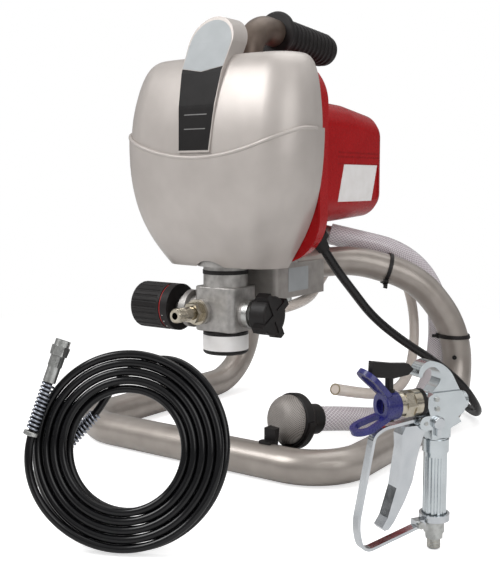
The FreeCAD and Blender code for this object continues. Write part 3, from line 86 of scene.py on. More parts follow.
def ramp(tree, factor, low, high, lowColour, highColour):
    made = addNode(tree, "ShaderNodeValToRGB", None, {"Fac": factor})
    first, last = made.color_ramp.elements
    first.position, last.position = low, high
    first.color, last.color = lowColour, highColour
    return made.outputs["Color"]


def spread(tree, factor, low, high, fromLow=0.3, fromHigh=0.7):
    return addNode(tree, "ShaderNodeMapRange",
                   {"From Min": fromLow, "From Max": fromHigh, "To Min": low, "To Max": high},
                   {"Value": factor}).outputs["Result"]


def bump(tree, shader, height, depth, strength=1.0):
    made = addNode(tree, "ShaderNodeBump", {"Distance": depth, "Strength": strength}, {"Height": height})
    tree.links.new(made.outputs["Normal"], shader.inputs["Normal"])


def blotchy(name, sockets, light, dark, blotch, grain, grainDepth, roughSpread):
    # Two tones in wide blotches, with a fine grain that also breaks up the gloss
    material, tree, shader = newFinish(name, sockets)
    point = objectPoint(tree)
    tone = ramp(tree, noiseAt(tree, point, blotch), 0.3, 0.7, linear(dark), linear(light))
    tree.links.new(tone, shader.inputs["Base Color"])
    fine = noiseAt(tree, point, grain, 3.0)
    tree.links.new(spread(tree, fine, *roughSpread), shader.inputs["Roughness"])
    if grainDepth > 0:
        bump(tree, shader, fine, grainDepth, 0.6)
    return material


# Metallic lacquer: flakes in a clear coat, so it is bright where it faces the light
silverLacquer = blotchy("silver_lacquer", {"Metallic": 0.3, "Coat Weight": 0.15, "Coat Roughness": 0.2},
                        "#BDB6B1", "#B3ACA7", 30 * mm, 0.9 * mm, 0.03 * mm, (0.34, 0.46))
tubeLacquer = blotchy("champagne_tube_lacquer",
                      {"Metallic": 0.5, "Coat Weight": 0.5, "Coat Roughness": 0.12},
                      "#A9A19A", "#9A928B", 22 * mm, 0.8 * mm, 0.03 * mm, (0.30, 0.44))
bracketPaint = blotchy("grey_bracket_paint", {"Metallic": 0.35},
                       "#A5A19D", "#94908C", 12 * mm, 0.7 * mm, 0.04 * mm, (0.38, 0.52))
handleLacquer = blotchy("brown_grey_handle_lacquer", {"Metallic": 0.45},
                        "#6E6157", "#5E5249", 14 * mm, 0.7 * mm, 0.03 * mm, (0.34, 0.46))
# Injection moulded ABS, polished in the mould
redAbs = blotchy("red_gloss_abs", {"Specular IOR Level": 0.14},
                 "#A51418", "#9E1115", 30 * mm, 9.0 * mm, 0, (0.25, 0.29))
# Glass filled nylon with a spark eroded grain
blackNylon = blotchy("black_grained_nylon", {"Specular IOR Level": 0.35},
                     "#191515", "#110E0E", 9 * mm, 0.8 * mm, 0.04 * mm, (0.38, 0.54))
blueNylon = blotchy("blue_moulded_nylon", {"Coat Weight": 0.2},
                    "#24246F", "#1D1E5C", 9 * mm, 0.8 * mm, 0.01 * mm, (0.24, 0.34))
softRubber = blotchy("black_soft_rubber", {"Specular IOR Level": 0.35},
                     "#191515", "#110E0E", 8 * mm, 0.6 * mm, 0.05 * mm, (0.46, 0.62))
whiteFilm = blotchy("white_vinyl_film", {},
                    "#F1EFEE", "#E9E6E4", 12 * mm, 0.7 * mm, 0.01 * mm, (0.30, 0.42))
blackFilm = blotchy("black_vinyl_film", {"Specular IOR Level": 0.2},
                    "#1A1818", "#141212", 12 * mm, 0.7 * mm, 0, (0.44, 0.54))
# Die cast alloy: a fine orange peel skin, a little uneven in tone
dieCast = blotchy("die_cast_alloy", {"Metallic": 0.8},
                  "#BDBAB7", "#9F9C99", 7 * mm, 0.6 * mm, 0.08 * mm, (0.38, 0.56))
blastedAlloy = blotchy("bead_blasted_alloy", {"Metallic": 0.95},
                       "#D2D8DB", "#C6CCCF", 14 * mm, 0.5 * mm, 0.015 * mm, (0.16, 0.26))
zincPlate = blotchy("zinc_plated_steel", {"Metallic": 1.0},
                    "#CDCECC", "#B2B3B0", 4 * mm, 0.6 * mm, 0.02 * mm, (0.26, 0.40))
nickelBrass = blotchy("nickel_plated_brass", {"Metallic": 1.0},
                      "#C9C1B2", "#B1A998", 5 * mm, 0.7 * mm, 0.02 * mm, (0.16, 0.26))
brightChrome = blotchy("bright_chrome", {"Metallic": 1.0},
                       "#D2D5D8", "#C4C8CC", 10 * mm, 5.0 * mm, 0.10 * mm, (0.15, 0.22))
machinedSteel = blotchy("machined_steel", {"Metallic": 1.0},
                        "#8E8E90", "#77777A", 5 * mm, 0.5 * mm, 0.03 * mm, (0.30, 0.42))
springWire = blotchy("bright_spring_wire", {"Metallic": 1.0},
                     "#AEB2BC", "#8F939D", 3 * mm, 0.6 * mm, 0.01 * mm, (0.20, 0.30))
hoseJacket = blotchy("black_hose_jacket", {"Specular IOR Level": 0.35},
                     "#0F0F11", "#0A0A0C", 18 * mm, 6.0 * mm, 0, (0.15, 0.21))
cordJacket = blotchy("black_cord_jacket", {"Specular IOR Level": 0.4},
                     "#120F10", "#0C0A0B", 14 * mm, 4.0 * mm, 0.002 * mm, (0.24, 0.32))
greyFilm = blotchy("silver_grey_vinyl_film", {"Metallic": 0.1},
                   "#A4A8AA", "#9DA1A3", 16 * mm, 0.7 * mm, 0.004 * mm, (0.44, 0.54))
cutVinyl = blotchy("cut_vinyl_edge", {}, "#8F8268", "#7D7059", 5 * mm, 0.7 * mm, 0.002 * mm, (0.30, 0.40))
greyInk = blotchy("grey_ink", {}, "#7F7E7D", "#747372", 8 * mm, 0.7 * mm, 0.002 * mm, (0.40, 0.50))
redInk = blotchy("red_ink", {}, "#B01C1E", "#A0181A", 8 * mm, 0.7 * mm, 0.005 * mm, (0.36, 0.46))
whiteInk = blotchy("white_ink", {}, "#EFEDEA", "#E4E2DF", 8 * mm, 0.7 * mm, 0.005 * mm, (0.40, 0.50))


def wireMesh():
    # Woven stainless wire: real pitch 0.5 mm, drawn at 1.3 mm so that it shows
    material, tree, shader = newFinish("woven_wire_mesh", {"Metallic": 0.3, "Roughness": 0.5})
    point = objectPoint(tree)
    threads = []
    # The headings are 1.47 long, so the threads lie 1.3 mm apart
    spacing = 1.9 * mm
    for heading in ((1, 0.4, 1), (-1, 0.4, 1)):
        slant = addNode(tree, "ShaderNodeVectorMath", {"operation": "DOT_PRODUCT", 1: heading},
                        {0: point}).outputs["Value"]
        wave = addNode(tree, "ShaderNodeMath", {"operation": "MULTIPLY", 1: 2 * math.pi / spacing},
                       {0: slant}).outputs[0]
        threads.append(addNode(tree, "ShaderNodeMath", {"operation": "SINE"}, {0: wave}).outputs[0])
    woven = addNode(tree, "ShaderNodeMath", {"operation": "MAXIMUM"},
                    {0: threads[0], 1: threads[1]}).outputs[0]
    woven = spread(tree, woven, 0.0, 1.0, -0.6, 1.0)
    dust = noiseAt(tree, point, 4 * mm, 4.0)
    mixed = addNode(tree, "ShaderNodeMath", {"operation": "MULTIPLY_ADD", 1: 0.5},
                    {0: dust, 2: woven}).outputs[0]
    tone = ramp(tree, mixed, 0.25, 0.85, linear("#4B4745"), linear("#A09A95"))
    tree.links.new(tone, shader.inputs["Base Color"])
    bump(tree, shader, woven, 0.12 * mm, 0.6)
    return material


def braidedVinyl():
    # Clear vinyl over a polyester braid: the threads cross in diamonds, about 3 mm long
    h = suctionHose
    material, tree, shader = newFinish("braided_clear_vinyl", {"Roughness": 0.16, "Coat Weight": 0.4,
                                                               "Coat Roughness": 0.06})
    uv = addNode(tree, "ShaderNodeTexCoord").outputs["UV"]
    parts = addNode(tree, "ShaderNodeSeparateXYZ", None, {"Vector": uv})
    along = addNode(tree, "ShaderNodeMath", {"operation": "MULTIPLY", 1: h["braidTurns"]},
                    {0: parts.outputs["X"]}).outputs[0]
    around = addNode(tree, "ShaderNodeMath", {"operation": "MULTIPLY", 1: h["braidStarts"]},
                     {0: parts.outputs["Y"]}).outputs[0]
    threads = []
    for sign in ("ADD", "SUBTRACT"):
        slant = addNode(tree, "ShaderNodeMath", {"operation": sign}, {0: along, 1: around}).outputs[0]
        pulse = addNode(tree, "ShaderNodeMath", {"operation": "PINGPONG", 1: 0.5}, {0: slant}).outputs[0]
        threads.append(addNode(tree, "ShaderNodeMath", {"operation": "LESS_THAN", 1: h["threadHalf"]},
                               {0: pulse}).outputs[0])
    thread = addNode(tree, "ShaderNodeMath", {"operation": "MAXIMUM"},
                     {0: threads[0], 1: threads[1]}).outputs[0]
    tone = ramp(tree, thread, 0.0, 1.0, linear("#C3B6BE"), linear("#EAE5E8"))
    tree.links.new(tone, shader.inputs["Base Color"])
    tree.links.new(spread(tree, thread, 0.62, 0.92, 0.0, 1.0), shader.inputs["Alpha"])
    bump(tree, shader, thread, 0.15 * mm, 0.5)
    return material


def plainVinyl():
    # Soft clear vinyl tube, a little yellowed
    material, tree, shader = newFinish("clear_vinyl_tube",
                                       {"Roughness": 0.2, "Coat Weight": 0.4, "Alpha": 0.78})
    point = objectPoint(tree)
    tone = ramp(tree, noiseAt(tree, point, 25 * mm), 0.3, 0.7, linear("#D6C8BC"), linear("#E4D9CF"))
    tree.links.new(tone, shader.inputs["Base Color"])
    bump(tree, shader, noiseAt(tree, point, 5 * mm), 0.05 * mm)
    return material


# ---------- small builders

def meshPiece(name, vertices, faces, material, body="sprayer", smooth=True):
    mesh = bpy.data.meshes.new(name)
    mesh.from_pydata([tuple(v) for v in vertices], [], faces)
    work = bmesh.new()
    work.from_mesh(mesh)
    bmesh.ops.remove_doubles(work, verts=work.verts, dist=1e-7)
    bmesh.ops.recalc_face_normals(work, faces=work.faces)
    work.to_mesh(mesh)
    work.free()
    for face in mesh.polygons:
        face.use_smooth = smooth
    mesh.materials.append(material)
    piece = bpy.data.objects.new(name, mesh)
    bpy.context.collection.objects.link(piece)
    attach(piece, body)
    return piece


def applyModifiers(piece):
    graph = bpy.context.evaluated_depsgraph_get()
    graph.update()
    flat = bpy.data.meshes.new_from_object(piece.evaluated_get(graph))
    piece.modifiers.clear()
    if piece.type == "MESH":
        piece.data = flat
        return piece
    made = bpy.data.objects.new(piece.name, flat)
    bpy.context.collection.objects.link(made)
    bpy.data.objects.remove(piece)
    return made


def cordCurve(name, route, radius, material, resolution=6):
    curve = bpy.data.curves.new(name, "CURVE")
    curve.dimensions = "3D"
    # The thickness is on the points, because a curve's box is its points grown by their radius
    curve.bevel_depth = 1.0
    curve.bevel_resolution = 6
    curve.use_fill_caps = True
    line = curve.splines.new("NURBS")
    line.points.add(len(route) - 1)
    for point, place in zip(line.points, route):
        point.co = (*place, 1)
        point.radius = radius
    line.order_u = 3
    line.use_endpoint_u = True
    line.resolution_u = resolution
    curve.materials.append(material)
    piece = bpy.data.objects.new(name, curve)
    bpy.context.collection.objects.link(piece)
    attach(piece, "sprayer")
    return piece


def routeLength(piece):
    # The length of the curve's own line, as Blender draws it
    depth, piece.data.bevel_depth = piece.data.bevel_depth, 0
    graph = bpy.context.evaluated_depsgraph_get()
    graph.update()
    flat = bpy.data.meshes.new_from_object(piece.evaluated_get(graph))
    places = [v.co for v in flat.vertices]
    total = sum((places[e.vertices[0]] - places[e.vertices[1]]).length for e in flat.edges)
    piece.data.bevel_depth = depth
    bpy.data.meshes.remove(flat)
    return total


def easeStep(s, start, length):
    t = min(1.0, max(0.0, (s - start) / length))
    return t * t * (3 - 2 * t)


# ---------- power cord

powerCord = {
    "radius": 4.5 * mm,
    "gland": Vector((81, -49, 214)) * mm,
    "heading": Vector((0.25, 0.5, -0.83)).normalized(), "inGland": 2 * mm, "straight": 32 * mm,
    "route": [(95, 0, 157), (104, 24, 130), (124, 50, 104), (150, 80, 79), (170, 105, 53),
              (178.8, 129.9, 24.1), (167.6, 159.8, 8.3), (145.7, 182.9, 7.8), (122, 206, 14.2)],
}


def buildPowerCord():
    c = powerCord
    route = [c["gland"] - c["heading"] * c["inGland"], c["gland"] + c["heading"] * c["straight"]]
    route += [Vector(p) * mm for p in c["route"]]
    cord = cordCurve("mains_cord", route, c["radius"], cordJacket, 10)
    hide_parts("power_cord")
    length = routeLength(cord)
    print("mains cord", round(length, 3))


# ---------- paint hoses

suctionHose = {
    "radius": 12.0 * mm,
    "route": [(14, 92, 209), (45, 107.5, 201.2), (76, 134, 191), (98, 159, 167), (111, 172, 133),
              (114, 173, 90), (117, 153, 50), (120, 115, 25), (121, 67, 17), (114, 14, 25),
              (103, -34, 35), (90, -79, 42)],
    "braidTurns": 150, "braidStarts": 22, "threadHalf": 0.09,
}
returnHose = {
    "radius": 5.5 * mm, "wall": 1.3 * mm, "ring": 0.4 * mm,
    "route": [(34.1, -68.9, 140), (34.1, -42, 140), (32, -6, 141), (24, 34, 144), (13, 70, 156),
              (12, 102, 178), (28, 128, 197), (57, 148, 190), (76, 158, 158), (86, 162, 122),
              (92, 154, 84), (98, 130, 56), (105, 92, 44), (111, 48, 46), (116, 4, 54),
              (118, -38, 64), (118, -76, 74)],
}


def buildPaintHoses():
    hoses = [("suction_hose_braided", suctionHose, braidedVinyl(), "suction_hose", "clear_hose", "object"),
             ("return_hose_clear", returnHose, plainVinyl(), "return_hose", "cream_hose", "bare")]
    for name, facts, material, node, slot, end in hoses:
        route = [Vector(p) * mm for p in facts["route"]]
        hose = cordCurve(name, route, facts["radius"], material, 10)
        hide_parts(node)
        length = routeLength(hose)
        if end == "bare":
            # The cut end shows the tube's wall as a ring
            out = (route[-1] - route[-2]).normalized()
            cut = turnedRing("return_hose_cut_end", facts["radius"], facts["radius"] - facts["wall"],
                             facts["ring"], alongMatrix(route[-1] - out * facts["ring"] / 2, out), cutVinyl)
        print(name, round(length, 3))


# ---------- high pressure hose

hoseCoil = {
    "radius": 3.0, "outer": 77.0, "foot": (90.0, -334.0), "turnDeg": 27.0, "leanDeg": 14.0, "turns": 4.77,
    "leaveDeg": 172.0, "lift": 9.6, "tuck": 5.0, "startTurn": 0.14, "endTurn": 0.37, "crossRadius": 38.0,
    "crossDepth": 12.2, "gap": 0.45, "floorGap": 0.15, "pointsPerTurn": 24, "heightSteps": 60,
    # where each change starts and how many turns it takes: to the back layer, inwards, and behind the coil
    "layerStart": -0.25, "layerTurns": 0.5, "crossStart": 0.14, "crossTurns": 0.23,
    "backStart": -0.06, "backTurns": 0.28,
}
springGuard = {"wire": 0.9, "turns": 12, "pitch": 3.0, "clearance": 0.3, "ringLength": 3.0, "ringProud": 0.6,
               "ringGap": 0.1}
ferruleLength = 20.0


def coilPlacer():
    c = hoseCoil
    turn, lean = math.radians(c["turnDeg"]), math.radians(c["leanDeg"])
    front = Vector((math.sin(turn) * math.cos(lean), -math.cos(turn) * math.cos(lean), math.sin(lean)))
    right = Vector((math.cos(turn), math.sin(turn), 0))
    up = front.cross(right)
    layer = 2 * c["radius"] + c["gap"]
    rim = c["outer"] - c["radius"]
    across = 2 * c["turns"]

    def offset(s):
        r = rim - layer * (s if s < c["turns"] else across - s)
        if s < c["startTurn"]:
            r -= c["tuck"] * (1 - s / c["startTurn"]) ** 2
        if s > across:
            r = rim - (rim - c["crossRadius"]) * easeStep(s, across + c["crossStart"], c["crossTurns"])
        depth = layer * easeStep(s, c["turns"] + c["layerStart"], c["layerTurns"])
        depth += c["crossDepth"] * easeStep(s, across + c["backStart"], c["backTurns"])
        depth -= c["lift"] * (1 - easeStep(s, 0, 2 * c["startTurn"]))
        a = math.radians(c["leaveDeg"]) + 2 * math.pi * s
        return right * (r * math.cos(a)) + up * (r * math.sin(a)) - front * depth

    steps = c["heightSteps"]
    lowest = min(offset(i / steps).z for i in range(int(steps * across)))
    centre = Vector((*c["foot"], c["radius"] + c["floorGap"] - lowest))
    return lambda s: (centre + offset(s)) * mm


def springTree():
    # A coil spring along +Z: turns, pitch, radius and wire are its inputs
    tree = bpy.data.node_groups.new("spring_guard", "GeometryNodeTree")
    for name in ("Turns", "Height", "Radius", "Wire"):
        tree.interface.new_socket(name, in_out="INPUT", socket_type="NodeSocketFloat")
    tree.interface.new_socket("Finish", in_out="INPUT", socket_type="NodeSocketMaterial")
    tree.interface.new_socket("Geometry", in_out="OUTPUT", socket_type="NodeSocketGeometry")
    inputs = addNode(tree, "NodeGroupInput").outputs
    spiral = addNode(tree, "GeometryNodeCurveSpiral", {"Resolution": 20},
                     {"Rotations": inputs["Turns"], "Start Radius": inputs["Radius"],
                      "End Radius": inputs["Radius"], "Height": inputs["Height"]})
    section = addNode(tree, "GeometryNodeCurvePrimitiveCircle", {"Resolution": 8},
                      {"Radius": inputs["Wire"]})
    wire = addNode(tree, "GeometryNodeCurveToMesh", {"Fill Caps": True},
                   {"Curve": spiral.outputs[0], "Profile Curve": section.outputs["Curve"]})
    smooth = addNode(tree, "GeometryNodeSetShadeSmooth", None, {"Geometry": wire.outputs[0]})
    real = addNode(tree, "GeometryNodeRealizeInstances", None, {"Geometry": smooth.outputs[0]})
    painted = addNode(tree, "GeometryNodeSetMaterial", None,
                      {"Geometry": real.outputs[0], "Material": inputs["Finish"]})
    addNode(tree, "NodeGroupOutput", None, {"Geometry": painted.outputs[0]})
    return tree


def runTree(name, tree, values, place, body="sprayer"):
    # Run a node tree on an empty mesh, keep the plain mesh that comes out, and put it in its place
    piece = bpy.data.objects.new(name, bpy.data.meshes.new(name))
    bpy.context.collection.objects.link(piece)
    modifier = piece.modifiers.new(name, "NODES")
    modifier.node_group = tree
    for socket in tree.interface.items_tree:
        if socket.in_out == "INPUT" and socket.name in values:
            modifier[socket.identifier] = values[socket.name]
    applyModifiers(piece)
    piece.data.transform(place)
    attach(piece, body)
    return piece


def alongMatrix(at, heading):
    return Matrix.Translation(at) @ heading.to_track_quat("Z", "Y").to_matrix().to_4x4()


def hoseEnds(place):
    ends = []
    for s, sign in ((0.0, -1), (2 * hoseCoil["turns"] + hoseCoil["endTurn"], 1)):
        heading = (place(s + 1e-4) - place(s - 1e-4)).normalized() * sign
        ends.append((place(s), heading))
    return ends


def buildPressureHose():
    c, g = hoseCoil, springGuard
    place = coilPlacer()
    last = 2 * c["turns"] + c["endTurn"]
    count = int(last * c["pointsPerTurn"])
    coil = [place(last * i / count) for i in range(count + 1)]
    guardLength = (g["turns"] * g["pitch"] + 2 * g["wire"]) * mm
    reach = guardLength + ferruleLength * mm / 2
    (nearAt, nearOut), (farAt, farOut) = hoseEnds(place)
    route = [nearAt + nearOut * reach * t for t in (1.0, 0.5)] + coil
    route += [farAt + farOut * reach * t for t in (0.5, 1.0)]
    hose = cordCurve("black_pressure_hose", route, c["radius"] * mm, hoseJacket)
    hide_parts("pressure_hose")
    tree = springTree()
    inner = c["radius"] + g["clearance"]
    for name, at, out in (("near", nearAt, nearOut), ("far", farAt, farOut)):
        spring = runTree("spring_guard_" + name, tree,
                         {"Turns": float(g["turns"]), "Height": g["turns"] * g["pitch"] * mm,
                          "Radius": (inner + g["wire"]) * mm, "Wire": g["wire"] * mm, "Finish": springWire},
                         alongMatrix(at + out * g["wire"] * mm, out))
    ringLength = g["ringLength"] * mm
    collar = turnedRing("guard_end_ring", (inner + 2 * g["wire"] + g["ringProud"]) * mm,
                        (c["radius"] + g["ringGap"]) * mm, ringLength,
                        alongMatrix(nearAt - nearOut * ringLength, nearOut), zincPlate)
    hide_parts("hose_guards")
    length = routeLength(hose)
    print("pressure hose", round(length, 3))


def turnedRing(name, outer, inner, length, place, material, body="sprayer", sides=48, creaseDeg=35):
    # A ring along +Z with a small bevel on its outer edges, put in its place
    bevel = min(0.4 * mm, length / 4, (outer - inner) / 3)
    outline = [(inner, 0), (outer - bevel, 0), (outer, bevel), (outer, length - bevel),
               (outer - bevel, length), (inner, length)]
    vertices, faces = [], []
    for i in range(sides):
        a = 2 * math.pi * i / sides
        vertices += [place @ Vector((r * math.cos(a), r * math.sin(a), z)) for r, z in outline]
    n = len(outline)
    for i in range(sides):
        for j in range(n):
            k = (j + 1) % n
            p, q = i * n, ((i + 1) % sides) * n
            faces.append((p + j, p + k, q + k, q + j))
    piece = meshPiece(name, vertices, faces, material, body)
    sharpen(piece, creaseDeg)
    return piece


def sharpen(piece, degrees):
    # Keep edges sharper than this as creases in the shading
    limit = math.radians(degrees)
    work = bmesh.new()
    work.from_mesh(piece.data)
    for edge in work.edges:
        if len(edge.link_faces) == 2 and edge.calc_face_angle(0) > limit:
            edge.smooth = False
    work.to_mesh(piece.data)
    work.free()


# ---------- films and small trim on the CAD pieces

filmSunk = 0.1


def layFilm(name, node, outline, plane, material, body="sprayer", lift=0.25, step=3.0):
    # A film cut to an outline (mm) in a plane, then pressed along the plane's third axis onto a CAD piece
    at, across, up, inward = plane
    work = bmesh.new()
    work.faces.new([work.verts.new((u, v, 0)) for u, v in outline])
    bmesh.ops.triangulate(work, faces=work.faces)
    for axis in (0, 1):
        low = min(p[axis] for p in outline)
        high = max(p[axis] for p in outline)
        for i in range(1, int((high - low) / step) + 1):
            cut = Vector((0, 0, 0))
            cut[axis] = low + i * step
            normal = Vector((0, 0, 0))
            normal[axis] = 1
            bmesh.ops.bisect_plane(work, geom=work.verts[:] + work.edges[:] + work.faces[:],
                                   plane_co=cut, plane_no=normal)
    tree = BVHTree.FromObject(nodes[node], bpy.context.evaluated_depsgraph_get())
    for vertex in work.verts:
        start = (Vector(at) + Vector(across) * vertex.co.x + Vector(up) * vertex.co.y) * mm
        hit = tree.ray_cast(start, Vector(inward))[0]
        vertex.co = hit - Vector(inward) * lift * mm
    rim = [e for e in work.edges if e.is_boundary]
    made = bmesh.ops.extrude_edge_only(work, edges=rim)["geom"]
    for vertex in made:
        if isinstance(vertex, bmesh.types.BMVert):
            vertex.co += Vector(inward) * (lift + filmSunk) * mm
    bmesh.ops.recalc_face_normals(work, faces=work.faces)
    mesh = bpy.data.meshes.new(name)
    work.to_mesh(mesh)
    work.free()
    facing = sum(((p.normal @ Vector(inward)) * p.area for p in mesh.polygons))
    if facing > 0:
        mesh.flip_normals()
    mesh.materials.append(material)
    piece = bpy.data.objects.new(name, mesh)
    bpy.context.collection.objects.link(piece)
    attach(piece, body)
    return piece


tonguePlate = {
    "lowZ": 297.0, "lowHalf": 17.3, "seamZ": 374.0, "seamHalf": 23.7, "chevron": 4.0, "seamGap": 0.5,
    "shoulderZ": 396.0, "topHalf": 24.6, "arcSteps": 16, "seamOverlap": 0.05, "rayFrom": -300,
    "dividers": [(329.6, 13.2), (316.3, 12.4)], "dividerHeight": 0.9, "dividerLift": 0.34,
}
sidePlate = {"y": (25.5, 112.5), "z": (247.0, 286.0), "slant": 12.5, "rayFrom": 200}
bracketPlate = {"y": (-38.0, 0.0), "z": (157.0, 181.0), "rayFrom": 200}
dial = {"ringX": -67.8, "ringR": 23.5, "ringLength": 1.6, "ringDepth": 1.2, "axis": (-89.0, 140.0),
        "marks": 9, "markX": -63.2, "markR": 24.15, "firstDeg": 196.0, "stepDeg": 17.0,
        "smallest": 0.5, "largest": 1.35, "markDepth": 0.4, "markSides": 12}
apronLip = {"midZ": 291.0, "rise": 26.0, "half": 103.0, "below": 0.9, "axisY": -86.0, "spanDeg": 87.0,
            "steps": 60, "tries": 5, "lipRadius": 2.0, "sunk": 1.1, "rayFrom": 200}


def buildFilms():
    t = tonguePlate
    front = ((0, t["rayFrom"], 0), (1, 0, 0), (0, 0, 1), (0, 1, 0))
    panel = [(-t["lowHalf"], t["lowZ"]), (t["lowHalf"], t["lowZ"]), (t["seamHalf"], t["seamZ"]),
             (0, t["seamZ"] - t["chevron"]), (-t["seamHalf"], t["seamZ"])]
    layFilm("tongue_black_panel", "front_cover", panel, front, blackFilm)
    seamZ = t["seamZ"] + t["seamGap"]
    crown = [(0, seamZ - t["chevron"]), (t["seamHalf"] + t["seamOverlap"], seamZ)]
    for i in range(t["arcSteps"] + 1):
        a = math.pi * i / t["arcSteps"]
        crown.append((t["topHalf"] * math.cos(a), t["shoulderZ"] + t["topHalf"] * math.sin(a)))
    crown.append((-t["seamHalf"] - t["seamOverlap"], seamZ))
    layFilm("tongue_grey_crown", "front_cover", crown, front, greyFilm)
    for i, (z, half) in enumerate(t["dividers"]):
        top = z + t["dividerHeight"]
        layFilm("panel_divider_%d" % i, "front_cover", [(-half, z), (half, z), (half, top), (-half, top)],
                front, greyInk, lift=t["dividerLift"])
    p = sidePlate
    for side, name in ((1, "right"), (-1, "left")):
        plane = ((p["rayFrom"] * side, 0, 0), (0, 1, 0), (0, 0, 1), (-side, 0, 0))
        (y0, y1), (z0, z1), k = p["y"], p["z"], p["slant"]
        layFilm("housing_plate_" + name, "rear_housing", [(y0, z0), (y1 - k, z0), (y1, z1), (y0 + k, z1)],
                plane, whiteFilm, step=8.0)
    (y0, y1), (z0, z1) = bracketPlate["y"], bracketPlate["z"]
    layFilm("bracket_plate", "frame_bracket", [(y0, z0), (y1, z0), (y1, z1), (y0, z1)],
            ((bracketPlate["rayFrom"], 0, 0), (0, 1, 0), (0, 0, 1), (-1, 0, 0)), greyFilm,
            step=8.0)
    print("films laid")


def buildApronLip():
    # The rounded lip along the upper edge of the cover's apron, found by rays aimed at the cover's axis
    a = apronLip
    tree = BVHTree.FromObject(nodes["front_cover"], bpy.context.evaluated_depsgraph_get())
    radius = (a["half"] ** 2 + a["rise"] ** 2) / (2 * a["rise"])
    route = []
    for i in range(a["steps"] + 1):
        turn = math.radians(a["spanDeg"] * (2 * i / a["steps"] - 1))
        out = Vector((math.sin(turn), -math.cos(turn), 0))
        x = 0.0
        # The edge's height depends on where the ray meets the cover, so a few tries close in on it
        for _ in range(a["tries"]):
            drop = math.sqrt(radius ** 2 - min(abs(x), a["half"]) ** 2)
            z = a["midZ"] + radius - drop - a["below"]
            start = Vector((0, a["axisY"], z)) + out * a["rayFrom"]
            hit = tree.ray_cast(start * mm, -out)[0]
            x = hit.x / mm
        route.append(hit - out * a["sunk"] * mm)
    lip = applyModifiers(cordCurve("cover_apron_lip", route, a["lipRadius"] * mm, silverLacquer, 4))
    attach(lip, "sprayer")
    print("apron lip laid")


housingFlange = {"y": -76.9, "thick": 1.5, "centreZ": 290.0, "fromDeg": -64.0, "toDeg": 24.0, "steps": 44,
                 "inWall": 0.6, "wide": 18.0, "rayFrom": 400}
# The black disc set from these numbers is painted shade: it stands in for the dark inside of a small hole in
# the stand's leg
tubeHoleShade = {"centre": (141, 154, 74), "look": (0.38, -0.925, 0), "radius": 2.5, "bore": 0.2, "length": 1.1,
            "sunk": 0.5, "rayFrom": 60}


def buildFlanges():
    # The housing's front flange closes its mouth on each side, where it is wider than the cover
    f = housingFlange
    tree = BVHTree.FromObject(nodes["rear_housing"], bpy.context.evaluated_depsgraph_get())
    middle = Vector((0, f["y"], f["centreZ"])) * mm
    deeper = Vector((0, f["thick"] * mm, 0))
    for side, name in ((1, "right"), (-1, "left")):
        vertices, faces = [], []
        for i in range(f["steps"] + 1):
            a = math.radians(f["fromDeg"] + (f["toDeg"] - f["fromDeg"]) * i / f["steps"])
            out = Vector((side * math.cos(a), 0, math.sin(a)))
            rim = tree.ray_cast(middle + out * (f["rayFrom"] * mm), -out)[0]
            edge, inner = rim - out * f["inWall"] * mm, rim - out * f["wide"] * mm
            vertices += [edge, inner, inner + deeper, edge + deeper]
        for i in range(f["steps"]):
            for j in range(4):
                k = (j + 1) % 4
                faces.append((4 * i + j, 4 * i + k, 4 * i + 4 + k, 4 * i + 4 + j))
        faces += [(0, 1, 2, 3), tuple(4 * f["steps"] + j for j in (3, 2, 1, 0))]
        flange = meshPiece("housing_flange_" + name, vertices, faces, redAbs, smooth=False)
    print("flanges closed")


def buildTubeHoleShade():
    # A black disc sunk into the outer side of the stand's right leg: painted shade that stands in for the
    # dark inside of a small hole in the tube
    p = tubeHoleShade
    look = Vector(p["look"]).normalized()
    tree = BVHTree.FromObject(nodes["frame_tube"], bpy.context.evaluated_depsgraph_get())
    start = (Vector(p["centre"]) + look * p["rayFrom"]) * mm
    at = tree.ray_cast(start, -look)[0] - look * p["sunk"] * mm
    holeShade = turnedRing("stand_tube_hole_shade", p["radius"] * mm, p["bore"] * mm, p["length"] * mm,
                      alongMatrix(at, look), blackNylon, sides=24)
    print("tube plug set")


def buildDial():
    # The knob's red line lies in its groove, and a scale of growing dots runs beside it
    d = dial
    y, z = d["axis"]
    place = alongMatrix(Vector((d["ringX"], y, z)) * mm, Vector((1, 0, 0)))
    line = turnedRing("knob_red_line", d["ringR"] * mm, (d["ringR"] - d["ringDepth"]) * mm,
                      d["ringLength"] * mm, place, redInk, "knob")
    vertices, faces, sides = [], [], d["markSides"]
    for i in range(d["marks"]):
        a = math.radians(d["firstDeg"] + i * d["stepDeg"])
        out = Vector((0, math.cos(a), math.sin(a)))
        around = Vector((0, -math.sin(a), math.cos(a)))
        size = d["smallest"] + (d["largest"] - d["smallest"]) * i / (d["marks"] - 1)
        centre = Vector((d["markX"], y, z))
        first = len(vertices)
        for depth in (0.0, d["markDepth"]):
            for k in range(sides):
                b = 2 * math.pi * k / sides
                reach = around * size * math.sin(b)
                tall = math.sqrt((d["markR"] - depth) ** 2 - reach.length ** 2)
                vertices.append((centre + out * tall + reach + Vector((size * math.cos(b), 0, 0))) * mm)
        last = first + sides
        faces.append([first + k for k in range(sides)])
        faces.append([last + k for k in reversed(range(sides))])
        for k in range(sides):
            n = (k + 1) % sides
            faces.append([first + k, last + k, last + n, first + n])
    marks = meshPiece("knob_scale_dots", vertices, faces, whiteInk, "knob", smooth=False)
    print("dial marked")


threadRidges = {
    # turns, pitch, radius, wire radius, start point, heading, body, finish slot
    "outlet_thread_ridge": (7, 1.6, 6.75, 0.3, (-15, -137.5, 141), (0, -1, 0), "sprayer", "nickel_brass"),
    "gun_thread_ridge": (5, 1.2, 4.75, 0.22, (276, -205.6, 1.2), (0, 0, 1), "connector", "nickel_brass"),
}

